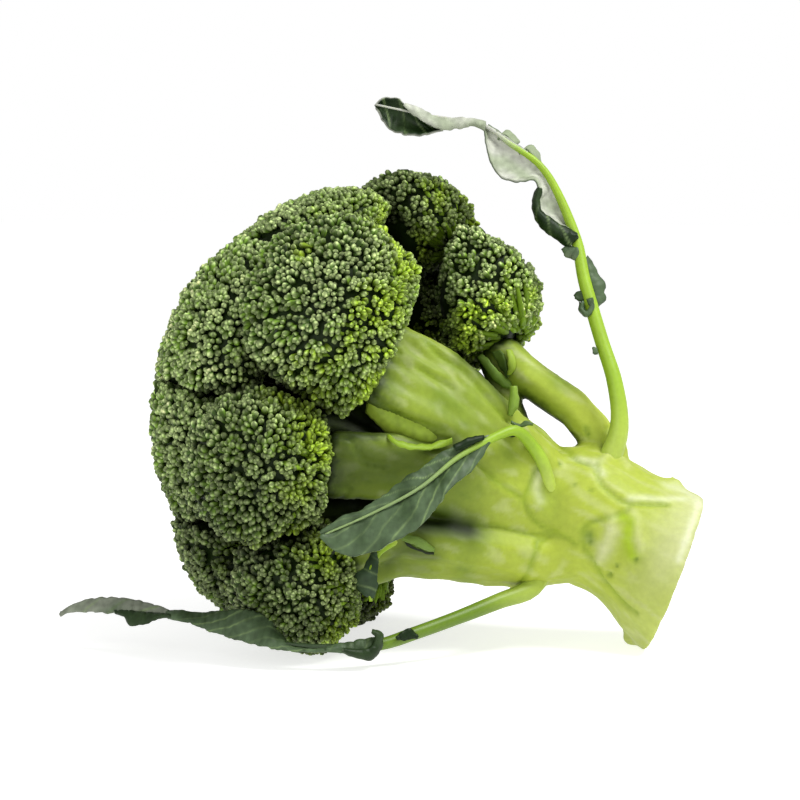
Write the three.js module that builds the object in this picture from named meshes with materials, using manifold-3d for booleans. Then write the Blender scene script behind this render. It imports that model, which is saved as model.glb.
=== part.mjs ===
// A head of broccoli as cut, lying on its side: a thick pale stalk that forks into branches, a crown of
// florets packed into one dome, and the small leaves that still grow on the stalk. Millimetres and degrees,
// +Z up. The surface it lies on is z = 0. The origin is the flat spot under the floret that the far side of
// the crown rests on. +X points from the crown towards the cut end of the stalk, and -Y is the side shown.
import * as THREE from "three";
import { ConvexHull } from "three/addons/math/ConvexHull.js";
import { mergeVertices } from "three/addons/utils/BufferGeometryUtils.js";
import Module from "manifold-3d";

const wasm = await Module();
wasm.setup();

// Driving dimensions of the crown
const CROWN_RADIUS = 68.2;
const CROWN_CENTRE = new THREE.Vector3(20, -22, 65);
const CROWN_RAISE = 12; // how far the crown's own axis points up from -X
const FLORET_BODY = 36; // how far a floret reaches from the crown's outside towards its middle
const FLORET_MIDDLE = 16.2; // and how far its own middle lies from the outside
const FLORET_PULL = 0.7; // how strongly all florets point along the crown's axis, against each one's splay
const FLORET_GAP = 0.3; // between neighbouring florets
const CONTACT_GAP = 0.4; // between a floret or a leaf and the stalk under it
const CLUSTER_PITCH = 6.9; // from one cluster of buds to the next
const CLUSTER_SPARE = 6; // a floret is taken as a ball of half its depth and this, to count its clusters
const CLUSTER_RISE = 1.2; // a cluster's top above the floret's own surface
const CLUSTER_DIP = 1; // and the dip between clusters below it

// Driving dimensions of the stalk
const CUT_CENTRE = new THREE.Vector3(105, -22, 20.9);
const CUT_FALL = 21; // how far the cut faces down from +X
const CUT_TURN = 11; // and how far it is turned towards +Y
const STEM_TILT = 27.5;
const STEM_RISE = [0, 1.2, 2.4, 2.6, 2.2, 1, 0]; // how far the stem bows upwards, from the cut to the fork
const STEM_RADII = [24.5, 23, 19.8, 19.2, 20, 18.5, 12]; // and its radius there
const STEM_LENGTH = 42; // from the cut to where the branches part
const STEM_SPARE = [8, 6]; // how far it is drawn beyond both, cut off at the one and hidden at the other
const STEM_STEPS = 10;
const STEM_SIDES = 24;
const NUBS = [[104, -20, 45], [93.5, -24, 2.5]]; // torn bits beside the cut, above and below
const NUB_RADIUS = 3.2;

// Driving dimensions of the branches, for those whose row below doesn't give its own
const BRANCH = { fork: 44, stout: 7, fingers: 1, spread: 8, shift: 0, splay: 0.55, bend: 0.3 };
const BRANCH_REACH = 20; // from the stem's middle line to a branch's outer side at the fork
const BRANCH_ROOT = 14; // how far before the fork a branch starts, inside the stem
const BRANCH_ROOT_OUT = 0.4; // and how far out it starts there, as a share of its place at the fork
const BRANCH_END = 2; // how far it runs on into its floret, which then cuts it off
const FINGER_THINNEST = 2; // a finger's radius at the floret is this and a share of the room between fingers
const FINGER_FILL = 0.7;
const BRANCH_SIDES = 7;
const BRANCH_STEPS = 4;

// The florets. lean is the angle from the crown's axis and bearing the turn round it: 0 is up, 90 faces -Y.
// size is the radius of the floret's own ball, rise how far that stands proud of the crown, and depth how
// thick the floret is. Its branch parts from the stem at fork, so far out, is stout thick, and spreads into
// so many fingers, shifted so far aside. splay is how much the floret leans out from the crown's axis, and
// bend how long its branch runs straight under it.
const FLORETS = [
  {
    lean: 80, bearing: 55, size: 28, rise: 5, depth: 41,
    splay: 0.38, fork: 40, out: 12, stout: 6.5, fingers: 4, spread: 9, shift: 4.5, bend: 0.26,
  },
  {
    lean: 74, bearing: 104, size: 22, rise: 9, depth: 36,
    splay: 0.42, fork: 40, stout: 9, fingers: 3, spread: 6,
  },
  {
    lean: 88, bearing: 136, size: 20, rise: 13, depth: 32,
    fork: 38, out: 21, stout: 8, fingers: 2, spread: 5,
  },
  { lean: 38, bearing: 62, size: 37, rise: 1, depth: 31 },
  { lean: 41, bearing: 117, size: 36, rise: 1, depth: 31 },
  { lean: 54, bearing: 2, size: 35, rise: -1, depth: 31, out: 11, stout: 5.5, spread: 6 },
  {
    lean: 82, bearing: -26, size: 20, rise: 7, depth: 30,
    fork: 52, out: 10, stout: 3.8, spread: 5, bend: 0.15,
  },
  {
    lean: 112, bearing: -24, size: 21, rise: -7, depth: 36,
    fork: 38, out: 24.5, stout: 6, spread: 5.4, bend: 0.06,
  },
  { lean: 64, bearing: 154, size: 26, rise: 7, depth: 32 },
  { lean: 81, bearing: -162, size: 21, rise: 5, depth: 30, fork: 42 },
  { lean: 43, bearing: -55, size: 37, rise: 0, depth: 32 },
  { lean: 42, bearing: -112, size: 37, rise: 0, depth: 32 },
  { lean: 80, bearing: -66, size: 28, rise: 3, depth: 41, out: 7, stout: 6, fingers: 3, spread: 3 },
  { lean: 80, bearing: -109, size: 27, rise: 3, depth: 40, fork: 40, fingers: 3 },
  { lean: 5, bearing: 40, size: 42, rise: 0, depth: 29, fork: 46 },
  { lean: 47, bearing: -179, size: 31, rise: 2, depth: 30 },
  { lean: 71, bearing: -141, size: 26, rise: 2, depth: 34, fork: 42 },
];

// The leaves. way is the rib's path from the stalk to the leaf's tip and ribs its radii; the blade starts at
// the share bare of that path. left and right are the blade's widths, and facing is how far it is turned up
// from -Y. The blade lies behind its rib, or before it, and ripples so far.
const LEAVES = {
  upper: {
    way: [
      [85.5, -24, 50], [89, -22.5, 62], [87.2, -20, 74.5], [82.3, -16, 87], [76.5, -11, 103], [72.5, -7, 114.5],
      [66.5, -5, 128], [61, -5, 136.5], [53, -5, 142.5], [46, -5, 147.5], [37, -6, 149.5], [28, -7.5, 151],
      [20.5, -8.5, 152.5], [13.5, -9, 154],
    ],
    ribs: [2.9, 2.3, 2.1, 1.9, 1.6, 1.1, 0.9, 0.7, 0.6, 0.5],
    bare: 0.49,
    left: [1, 6, 10, 6, 8, 9, 2, 2, 3, 6, 6, 1],
    right: [0.5, 1, 1, 1, 1.5, 1.5, 1.5, 2, 3, 3.5, 4, 1],
    facing: [20, 10, 0, 0, 0, 10, 60, 60, 30, -20, -20, -20],
    behind: 1,
    ripple: 1,
    color: 0x8fa47c,
  },
  middle: {
    way: [
      [71.5, -32, 49], [69, -40, 58], [64.5, -46, 62.5], [61, -51.5, 62.5], [52, -61, 57], [43, -70, 49],
      [31.5, -76, 42.5], [18.5, -82.5, 36.5],
    ],
    ribs: [2.3, 1.8, 1.4, 1.2, 1, 0.9, 0.7, 0.5],
    bare: 0.4,
    left: [1, 4, 7, 9, 9, 8, 6, 1],
    right: [1, 6, 8, 8, 7, 6, 5, 1],
    facing: [10, 8, 10, 15, 15, 15, 20, 20],
    behind: 1,
    ripple: 0.8,
    color: 0x4d6a52,
  },
  lower: {
    way: [
      [70, -33, 23], [67, -40, 17.5], [60, -47, 15], [51.5, -57, 12], [41.5, -67, 8.7], [32.5, -75, 5.4],
      [21, -82, 5], [7, -84.5, 7.5], [-8.5, -81, 10.5], [-26, -77, 12], [-44, -72, 13], [-62.5, -69, 10],
    ],
    ribs: [2.6, 2, 1.8, 1.7, 1.6, 1.2, 0.9, 0.8, 0.7, 0.5],
    bare: 0.42,
    left: [2, 5, 2, 3, 7, 8, 6, 2, 5, 6, 1],
    right: [2, 3, 2, 3, 5, 5, 4, 2, 6, 5, 1],
    facing: [80, 80, 80, 75, 60, 50, 60, 60, 20, 30, 40],
    behind: -1,
    ripple: 0.7,
    color: 0x4a6348,
  },
  small: {
    way: [[34, -60, 33], [30.5, -67, 30], [29, -71.5, 24.5], [29.5, -71.5, 17.5]],
    ribs: [1, 0.8, 0.6, 0.5],
    bare: 0.3,
    left: [1, 3.5, 4, 3, 0.7],
    right: [1, 3.5, 4, 3, 0.7],
    facing: [20, 0, 0],
    behind: 1,
    ripple: 0.3,
    color: 0x47655a,
  },
};
const BLADE_THICKNESS = 0.8;
const BLADE_STATIONS = 17;
const BLADE_CELLS = 6;
const RIPPLE_STEP = 1.7; // how far the ripple turns from one station to the next, in radians
const RIB_STEPS = 14;
const RIB_SIDES = 6;

const radians = THREE.MathUtils.degToRad;
const stalkGreen = new THREE.MeshStandardMaterial({ color: 0xa9c65a, roughness: 0.5 });
const ribGreen = new THREE.MeshStandardMaterial({ color: 0x8cb43c, roughness: 0.5 });
const budGreen = new THREE.MeshStandardMaterial({ color: 0x3c5c2c, roughness: 0.75 });

const towardsViewer = new THREE.Vector3(0, -1, 0);
const upright = new THREE.Vector3(0, 0, 1);
const crownAxis = new THREE.Vector3(-Math.cos(radians(CROWN_RAISE)), 0, Math.sin(radians(CROWN_RAISE)));
const crownUp = new THREE.Vector3(Math.sin(radians(CROWN_RAISE)), 0, Math.cos(radians(CROWN_RAISE)));
const stemAxis = new THREE.Vector3(-Math.cos(radians(STEM_TILT)), 0, Math.sin(radians(STEM_TILT)));
const stemUp = new THREE.Vector3(Math.sin(radians(STEM_TILT)), 0, Math.cos(radians(STEM_TILT)));

const polar = (lean, bearing) =>
  crownAxis
    .clone()
    .multiplyScalar(Math.cos(radians(lean)))
    .addScaledVector(crownUp, Math.sin(radians(lean)) * Math.cos(radians(bearing)))
    .addScaledVector(towardsViewer, Math.sin(radians(lean)) * Math.sin(radians(bearing)));

// Where each floret sits: its ball, the middle of its body, and the flat underside that its branch meets
const florets = FLORETS.map((row) => {
  const floret = { ...BRANCH, ...row };
  const outward = polar(floret.lean, floret.bearing);
  const top = CROWN_RADIUS + floret.rise;
  const ball = CROWN_CENTRE.clone().addScaledVector(outward, top - floret.size);
  const axis = crownAxis.clone().multiplyScalar(FLORET_PULL).addScaledVector(outward, floret.splay);
  axis.normalize();
  const middle = CROWN_CENTRE.clone().addScaledVector(outward, top - FLORET_MIDDLE);
  const across = polar(90, floret.bearing + 90);
  const foot = ball.clone().addScaledVector(axis, floret.size - floret.depth);
  return { ...floret, outward, ball, axis, middle, across, foot };
});

function trianglesOf(vertices, triangles) {
  return new THREE.BufferGeometry().setFromPoints(vertices).setIndex(triangles.flat());
}

// A closed three.js geometry as a solid, and the largest body of a solid as a geometry
function solidOf(geometry) {
  const bare = new THREE.BufferGeometry().setAttribute("position", geometry.getAttribute("position"));
  const merged = mergeVertices(bare.setIndex(geometry.index), 1e-4);
  return new wasm.Manifold(
    new wasm.Mesh({
      numProp: 3,
      vertProperties: new Float32Array(merged.attributes.position.array),
      triVerts: new Uint32Array(merged.index.array),
    }),
  );
}

function geometryOf(solid) {
  const body = solid.decompose().sort((a, b) => b.volume() - a.volume())[0];
  const mesh = body.getMesh();
  return new THREE.BufferGeometry()
    .setAttribute("position", new THREE.BufferAttribute(new Float32Array(mesh.vertProperties), 3))
    .setIndex(new THREE.BufferAttribute(new Uint32Array(mesh.triVerts), 1));
}

// A value that goes through the listed ones at even steps from 0 to 1
const along = (values) => (t) => {
  const place = t * (values.length - 1);
  const i = Math.min(Math.floor(place), values.length - 2);
  return THREE.MathUtils.lerp(values[i], values[i + 1], place - i);
};

// A closed limb: rings of the given radius along a curve, with flat ends
function limb(curve, radiusAt, steps, sides) {
  const { normals, binormals } = curve.computeFrenetFrames(steps);
  const vertices = [];
  const triangles = [];
  for (let i = 0; i <= steps; i++) {
    const centre = curve.getPointAt(i / steps);
    for (let k = 0; k < sides; k++) {
      const turn = (2 * Math.PI * k) / sides;
      const spoke = normals[i].clone().multiplyScalar(Math.cos(turn));
      spoke.addScaledVector(binormals[i], Math.sin(turn));
      vertices.push(centre.clone().addScaledVector(spoke, radiusAt(i / steps)));
      const a = i * sides + k;
      const b = i * sides + ((k + 1) % sides);
      if (i < steps) triangles.push([a, b, b + sides], [a, b + sides, a + sides]);
    }
  }
  const last = steps * sides;
  for (let k = 1; k < sides - 1; k++) triangles.push([0, k + 1, k], [last, last + k, last + k + 1]);
  return trianglesOf(vertices, triangles);
}

const smoothCurve = (points) => new THREE.CatmullRomCurve3(points, false, "centripetal");

// How far it is from a point to a ball's or a half-space's surface, along a unit vector
const toBall = (from, heading, centre, radius) => {
  const away = from.clone().sub(centre);
  const b = away.dot(heading);
  return -b + Math.sqrt(Math.max(b * b - away.lengthSq() + radius * radius, 0));
};
const toPlane = (from, heading, { normal, limit }) =>
  heading.dot(normal) > 1e-6 ? (limit - normal.dot(from)) / heading.dot(normal) : Infinity;

// The planes that part a floret from its neighbours, where their two balls meet
const partings = (floret) =>
  florets
    .filter((other) => other !== floret)
    .map((other) => {
      const normal = other.ball.clone().sub(floret.ball);
      const apart = normal.length();
      normal.divideScalar(apart);
      const share = (apart * apart + floret.size ** 2 - other.size ** 2) / (2 * apart);
      return { normal, limit: normal.dot(floret.ball) + share - FLORET_GAP / 2 };
    });

for (const floret of florets) {
  const inner = floret.outward.dot(CROWN_CENTRE) + CROWN_RADIUS + floret.rise - FLORET_BODY;
  floret.planes = [
    ...partings(floret),
    { normal: floret.axis.clone().negate(), limit: -floret.axis.dot(floret.foot) },
    { normal: floret.outward.clone().negate(), limit: -inner },
    { normal: upright.clone().negate(), limit: 0 },
  ];
}

// The distance from a floret's middle to its outside along a unit vector, and whether buds cover it there
function outsideOf(floret, heading) {
  const dome = Math.min(
    toBall(floret.middle, heading, floret.ball, floret.size),
    toBall(floret.middle, heading, CROWN_CENTRE, CROWN_RADIUS + Math.max(floret.rise, 0)),
  );
  const flat = Math.min(...floret.planes.map((plane) => toPlane(floret.middle, heading, plane)));
  return { dome, flat, budded: dome < flat };
}

// How many clusters a floret would have if they went all round it
const headingsOn = (floret) =>
  Math.round((4 * Math.PI * (floret.depth / 2 + CLUSTER_SPARE) ** 2) / CLUSTER_PITCH ** 2);

// Evenly spread unit vectors, on a spiral from pole to pole
function headings(count) {
  const list = [];
  for (let k = 0; k < count; k++) {
    const y = 1 - (2 * k + 1) / count;
    const turn = k * Math.PI * (3 - Math.sqrt(5));
    const ring = Math.sqrt(1 - y * y);
    list.push(new THREE.Vector3(ring * Math.cos(turn), y, ring * Math.sin(turn)));
  }
  return list;
}

// A floret's surface: a cluster of buds raised at each budded point, and a dip between every three of them
function floretGeometry(floret) {
  const points = headings(headingsOn(floret)).map((heading) => ({ heading, ...outsideOf(floret, heading) }));
  const indexOf = new Map(points.map((point, i) => [point.heading, i]));
  const faces = new ConvexHull().setFromPoints(points.map((point) => point.heading)).faces.map((face) => {
    const edges = [face.edge, face.edge.next, face.edge.next.next];
    return edges.map((edge) => indexOf.get(edge.head().point));
  });
  const at = (heading, reach) => floret.middle.clone().addScaledVector(heading, reach);
  const vertices = points.map(({ heading, dome, flat }) => at(heading, Math.min(dome + CLUSTER_RISE, flat)));
  const dips = faces.map((face) => {
    if (face.filter((i) => points[i].budded).length < 2) return -1;
    const heading = new THREE.Vector3();
    face.forEach((i) => heading.add(points[i].heading));
    heading.normalize();
    const { dome, flat } = outsideOf(floret, heading);
    vertices.push(at(heading, Math.min(dome, flat) - CLUSTER_DIP));
    return vertices.length - 1;
  });
  const faceAt = new Map();
  faces.forEach((face, f) => face.forEach((a, k) => faceAt.set(a + "," + face[(k + 1) % 3], f)));
  const triangles = [];
  faces.forEach((face, f) => {
    if (dips[f] < 0) {
      triangles.push(face);
      return;
    }
    face.forEach((a, k) => {
      const b = face[(k + 1) % 3];
      const across = dips[faceAt.get(b + "," + a)];
      triangles.push(across < 0 ? [a, b, dips[f]] : [a, across, dips[f]]);
    });
  });
  return trianglesOf(vertices, triangles);
}

// The room a floret takes, with the contact gap all round: the stalk is cut back to it
function floretRoom(floret) {
  const room = headings(headingsOn(floret)).map((heading) => {
    const { dome, flat } = outsideOf(floret, heading);
    return floret.middle.clone().addScaledVector(heading, Math.min(dome + CLUSTER_RISE, flat) + CONTACT_GAP);
  });
  return wasm.Manifold.hull(room.map((point) => point.toArray()));
}

const alongStem = (distance, up = 0) =>
  CUT_CENTRE.clone().addScaledVector(stemAxis, distance).addScaledVector(stemUp, up);

// The stem, bowed a little and flared at the cut, which slants
function stem(margin) {
  const bow = along(STEM_RISE);
  const points = STEM_RISE.map((_, i) => {
    const t = i / (STEM_RISE.length - 1);
    return alongStem(THREE.MathUtils.lerp(-STEM_SPARE[0], STEM_LENGTH + STEM_SPARE[1], t), bow(t));
  });
  const radii = along(STEM_RADII.map((radius) => radius + margin));
  const cutNormal = new THREE.Vector3(
    -Math.cos(radians(CUT_FALL)) * Math.cos(radians(CUT_TURN)),
    -Math.cos(radians(CUT_FALL)) * Math.sin(radians(CUT_TURN)),
    Math.sin(radians(CUT_FALL)),
  );
  const whole = solidOf(limb(smoothCurve(points), radii, STEM_STEPS, STEM_SIDES));
  return whole.trimByPlane(cutNormal.toArray(), cutNormal.dot(CUT_CENTRE));
}

// A floret's branch: fingers that leave the stem together and fan out under the floret
function branch(floret, margin) {
  const fingers = [];
  for (let k = 0; k < floret.fingers; k++) {
    const place = floret.fingers > 1 ? (2 * k) / (floret.fingers - 1) - 1 : 0;
    const end = floret.foot.clone().addScaledVector(floret.across, floret.shift + place * floret.spread);
    const side = end.clone().sub(CUT_CENTRE);
    side.addScaledVector(stemAxis, -side.dot(stemAxis)).normalize();
    const out = floret.out ?? BRANCH_REACH - floret.stout;
    const start = alongStem(floret.fork - BRANCH_ROOT).addScaledVector(side, BRANCH_ROOT_OUT * out);
    const fork = alongStem(floret.fork).addScaledVector(side, out);
    const approach = end.clone().addScaledVector(floret.axis, -floret.bend * end.distanceTo(fork));
    const tip = FINGER_THINNEST + (FINGER_FILL * floret.spread) / Math.max(floret.fingers - 1, 1);
    const thin = Math.min(tip, floret.stout);
    const radii = along([floret.stout, floret.stout, thin, tip].map((radius) => radius + margin));
    const curve = smoothCurve([start, fork, approach, end.addScaledVector(floret.axis, BRANCH_END)]);
    fingers.push(solidOf(limb(curve, radii, BRANCH_STEPS, BRANCH_SIDES)));
  }
  return wasm.Manifold.union(fingers);
}

const nub = (place) => solidOf(new THREE.SphereGeometry(NUB_RADIUS, 8, 6)).translate(place);

const stalkSolid = (margin) =>
  wasm.Manifold.union([stem(margin), ...NUBS.map(nub), ...florets.map((floret) => branch(floret, margin))]);

// A leaf's rib, from the stalk to the tip, and its blade: a thin closed sheet that lies just behind the rib
function leafRib({ way, ribs }, clearOf) {
  const curve = smoothCurve(way.map((point) => new THREE.Vector3(...point)));
  return solidOf(limb(curve, along(ribs), RIB_STEPS, RIB_SIDES)).subtract(clearOf);
}

function bladeGeometry({ way, ribs, bare, left, right, facing, behind, ripple }) {
  const curve = smoothCurve(way.map((point) => new THREE.Vector3(...point)));
  const columns = BLADE_CELLS + 1;
  const vertices = [[], []];
  for (let i = 0; i <= BLADE_STATIONS; i++) {
    const t = i / BLADE_STATIONS;
    const place = THREE.MathUtils.lerp(bare, 1, t);
    const tangent = curve.getTangentAt(place);
    const turn = radians(along(facing)(t));
    const normal = towardsViewer.clone().multiplyScalar(Math.cos(turn));
    normal.addScaledVector(upright, Math.sin(turn));
    normal.addScaledVector(tangent, -normal.dot(tangent)).normalize();
    const across = new THREE.Vector3().crossVectors(tangent, normal);
    const back = -behind * (along(ribs)(place) + CONTACT_GAP + BLADE_THICKNESS / 2);
    const centre = curve.getPointAt(place).addScaledVector(normal, back);
    for (let j = 0; j < columns; j++) {
      const share = (2 * j) / BLADE_CELLS - 1;
      const width = share < 0 ? along(left)(t) : along(right)(t);
      const swell = 1 + Math.sin(RIPPLE_STEP * i + 2 * Math.sign(share));
      const wave = -behind * ripple * share * share * swell;
      const point = centre.clone().addScaledVector(across, share * width).addScaledVector(normal, wave);
      vertices[0].push(point.clone().addScaledVector(normal, BLADE_THICKNESS / 2));
      vertices[1].push(point.clone().addScaledVector(normal, -BLADE_THICKNESS / 2));
    }
  }
  const back = vertices[0].length;
  const triangles = [];
  for (let i = 0; i < BLADE_STATIONS; i++) {
    for (let j = 0; j < BLADE_CELLS; j++) {
      const a = i * columns + j;
      const c = a + columns;
      triangles.push([a, a + 1, c + 1], [a, c + 1, c]);
      triangles.push([back + a, back + c + 1, back + a + 1], [back + a, back + c, back + c + 1]);
    }
  }
  const edge = [];
  for (let j = 0; j < BLADE_CELLS; j++) edge.push(j);
  for (let i = 0; i < BLADE_STATIONS; i++) edge.push(i * columns + BLADE_CELLS);
  for (let j = BLADE_CELLS; j > 0; j--) edge.push(BLADE_STATIONS * columns + j);
  for (let i = BLADE_STATIONS; i > 0; i--) edge.push(i * columns);
  edge.forEach((a, k) => {
    const b = edge[(k + 1) % edge.length];
    triangles.push([b, a, back + a], [b, back + a, back + b]);
  });
  return trianglesOf([...vertices[0], ...vertices[1]], triangles);
}

const parts = new THREE.Group();

function add(name, geometry, material) {
  const mesh = new THREE.Mesh(geometry, material);
  mesh.name = name;
  parts.add(mesh);
}

const rooms = wasm.Manifold.union(florets.map(floretRoom));
add("stalk", geometryOf(stalkSolid(0).subtract(rooms).trimByPlane([0, 0, 1], 0)), stalkGreen);
florets.forEach((floret, i) => {
  add("floret_" + String(i + 1).padStart(2, "0"), floretGeometry(floret), budGreen);
});
const stalkRoom = stalkSolid(CONTACT_GAP);
for (const [name, leaf] of Object.entries(LEAVES)) {
  add("leaf_" + name + "_rib", geometryOf(leafRib(leaf, stalkRoom)), ribGreen);
  const green = new THREE.MeshStandardMaterial({ color: leaf.color, roughness: 0.6 });
  add("leaf_" + name + "_blade", bladeGeometry(leaf), green);
}

export default parts;
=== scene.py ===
"""A head of broccoli on its side: buds on every floret, a grooved stalk and four small curling leaves.

Lengths are millimetres until a mesh is made, and metres in Blender. Places named as picture points
are pixels of the 800 x 800 photograph, with v downwards, and the camera below sees them there.
"""

import math

import bpy
import numpy as np
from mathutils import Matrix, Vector, noise
from mathutils.bvhtree import BVHTree
from mathutils.kdtree import KDTree


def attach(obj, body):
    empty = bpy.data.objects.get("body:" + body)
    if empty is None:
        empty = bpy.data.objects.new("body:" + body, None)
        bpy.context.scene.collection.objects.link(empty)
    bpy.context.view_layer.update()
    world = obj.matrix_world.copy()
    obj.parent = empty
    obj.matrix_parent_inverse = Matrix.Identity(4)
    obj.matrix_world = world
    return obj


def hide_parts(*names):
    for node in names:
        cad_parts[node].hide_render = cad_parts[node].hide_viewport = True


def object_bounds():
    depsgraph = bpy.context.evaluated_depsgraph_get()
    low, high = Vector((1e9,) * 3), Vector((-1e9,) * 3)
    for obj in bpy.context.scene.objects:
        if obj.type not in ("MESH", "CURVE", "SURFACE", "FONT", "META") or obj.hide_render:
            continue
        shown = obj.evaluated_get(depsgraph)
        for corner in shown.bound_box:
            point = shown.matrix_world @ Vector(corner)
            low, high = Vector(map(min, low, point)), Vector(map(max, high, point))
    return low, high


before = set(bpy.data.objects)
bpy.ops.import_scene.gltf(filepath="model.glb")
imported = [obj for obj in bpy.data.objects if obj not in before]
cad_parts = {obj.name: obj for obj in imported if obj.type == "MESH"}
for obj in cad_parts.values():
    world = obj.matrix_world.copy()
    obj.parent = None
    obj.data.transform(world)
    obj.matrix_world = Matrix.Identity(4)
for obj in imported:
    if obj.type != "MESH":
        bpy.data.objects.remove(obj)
cad_low, cad_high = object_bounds()
MM = 0.001
rng = np.random.default_rng(7)
FLORET_COUNT = 17

# The camera, which looks at the target from this far away
TARGET = np.array([24.6, -22.5, 68.4])
AZIMUTH = math.radians(15)
ELEVATION = math.radians(5)
CAMERA_AWAY = 750.0
PICTURE = 800
FOCAL_PIXELS = 2586.0
SENSOR_MM = 36.0
BACK = np.array(
    [
        math.sin(AZIMUTH) * math.cos(ELEVATION),
        -math.cos(AZIMUTH) * math.cos(ELEVATION),
        math.sin(ELEVATION),
    ]
)
RIGHT = np.array([math.cos(AZIMUTH), math.sin(AZIMUTH), 0.0])
UP = np.cross(BACK, RIGHT)
EYE = TARGET + CAMERA_AWAY * BACK

# The crown, as in the solids
CROWN_CENTRE = np.array([20.0, -22.0, 65.0])
CROWN_RADIUS = 68.2
CROWN_RAISE = math.radians(12)
CROWN_AXIS = np.array([-math.cos(CROWN_RAISE), 0.0, math.sin(CROWN_RAISE)])
CUT_CENTRE = np.array([105.0, -22.0, 20.9])
STEM_TILT = math.radians(27.5)
STEM_AXIS = np.array([-math.cos(STEM_TILT), 0.0, math.sin(STEM_TILT)])

# Buds
BUD_SPACING = (1.3, 1.51)  # at the stem's side of the crown, and over its top
BUD_WIDTH = 0.65  # a bud's radius as a share of its spacing
BUD_LENGTH = 1.4  # and half its length
BUD_SIDES = 6
BUD_RINGS = [(-0.8, 0.55), (0.44, 1.0), (0.84, 0.7)]  # each ring's height and width
BUD_SINK = 2.1  # how far a bud's middle lies below the surface
CORE_SINK = 3.0  # how far the core lies below the buds, and on a floret's flat sides
CORE_SINK_UNDER = 0.3
BUNCH_REACH = 3.3  # the radius of a bunch of buds
BUNCH_DOME = 0.8  # how far its middle stands above its edge
BUNCH_SPLAY = 0.5  # how much the buds at its edge lean outwards
RELIEF_KEPT = 0.5  # of the hills and dips of the floret's own surface
RELIEF_REACH = 4.0
DARTS_EACH = 8  # places tried for each bud that fits
CONTACT_REACH = 1.3  # a flat side this near another floret has no buds
RIM_REACH = 2.6  # how far the buds go from the dome onto the flat sides
GROOVE_FILL = 0.8  # how much of a groove between florets is filled
GROOVE_FILL_MOST = 7.0
DEEP_INSIDE = 6.0  # how far below a floret's middle its buds' directions start
FLAT_SIDE_AREA = 22  # square millimetres of one plane, from which it is a side that faces a neighbour
GROOVE_BLEND = 14  # how sharply the florets' shared surface turns from one floret's height to the next's
STALKLET_EVERY = 5  # of the buds under the rim, each so many has a little stalk of its own

# How the studio's light is judged: the rays tried, how far off a thing may shade a place, and the light's
# strength from all round and from the lamp
LIGHT_RAY_COUNT = 24
BUD_SHADE_REACH = 30.0
STALK_SHADE_REACH = 45.0
STALK_LIGHT_STEP = 7  # every so many of the stalk's points is tried, and the rest take their mean
SKY_STRENGTH = 0.15
LAMP_STRENGTH = 1.6
LAMP_FOCUS = 1.3


def linear(red, green, blue):
    """A colour as a screen shows it, 0 to 255, in Blender's linear values."""
    share = np.array([red, green, blue]) / 255
    return np.where(share <= 0.04045, share / 12.92, ((share + 0.055) / 1.055) ** 2.4)


def unit(vectors):
    return vectors / np.maximum(np.linalg.norm(vectors, axis=-1, keepdims=True), 1e-9)


def smoothstep(low, high, value):
    t = np.clip((value - low) / (high - low), 0, 1)
    return t * t * (3 - 2 * t)


def seen(u, v, depth):
    """The point that shows at a picture point, so many millimetres nearer than the camera's target."""
    scale = (CAMERA_AWAY - depth) / FOCAL_PIXELS
    return TARGET + (u - PICTURE / 2) * scale * RIGHT - (v - PICTURE / 2) * scale * UP + depth * BACK


def shown(point):
    """A point's place in the picture and its depth."""
    away = np.asarray(point) - TARGET
    depth = away @ BACK
    scale = (CAMERA_AWAY - depth) / FOCAL_PIXELS
    return np.stack([PICTURE / 2 + away @ RIGHT / scale, PICTURE / 2 - away @ UP / scale, depth], axis=-1)


def spline(points, count):
    """A smooth curve through the points, at even steps of its length."""
    points = np.asarray(points, float)
    ends = np.vstack([2 * points[0] - points[1], points, 2 * points[-1] - points[-2]])
    fine = []
    for i in range(len(points) - 1):
        a, b, c, d = ends[i : i + 4]
        for t in np.linspace(0, 1, 24, endpoint=False):
            bend = (2 * a - 5 * b + 4 * c - d) * t**2 + (3 * b - 3 * c + d - a) * t**3
            fine.append(0.5 * (2 * b + (c - a) * t + bend))
    fine.append(points[-1])
    fine = np.array(fine)
    length = np.concatenate([[0], np.cumsum(np.linalg.norm(np.diff(fine, axis=0), axis=1))])
    at = np.linspace(0, length[-1], count)
    return np.stack([np.interp(at, length, fine[:, k]) for k in range(fine.shape[1])], axis=1)


def evenly(values, shares):
    """A value that goes through the listed ones at even steps from 0 to 1."""
    return np.interp(shares, np.linspace(0, 1, len(values)), values)


def tree_of(points):
    """A tree that finds the points near a place."""
    tree = KDTree(len(points))
    for i, point in enumerate(points):
        tree.insert(point, i)
    tree.balance()
    return tree


def noise_at(points, size, shift=0.0):
    """Smooth noise between about -1 and 1, with features about the given size."""
    return np.array([noise.noise(Vector(p / size + shift)) for p in np.asarray(points, float)])


def mesh_arrays(mesh):
    """A mesh's points in millimetres, each once, and its triangles."""
    points = np.empty(len(mesh.vertices) * 3, np.float32)
    mesh.vertices.foreach_get("co", points)
    mesh.calc_loop_triangles()
    triangles = np.empty(len(mesh.loop_triangles) * 3, np.int32)
    mesh.loop_triangles.foreach_get("vertices", triangles)
    points = points.reshape(-1, 3).astype(float) / MM
    merged, back = np.unique(np.round(points, 3), axis=0, return_inverse=True)
    return merged, back.reshape(-1)[triangles.reshape(-1, 3)]


def face_normals(points, triangles):
    """Each triangle's normal, twice as long as its area."""
    corners = points[triangles]
    return np.cross(corners[:, 1] - corners[:, 0], corners[:, 2] - corners[:, 0])


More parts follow.
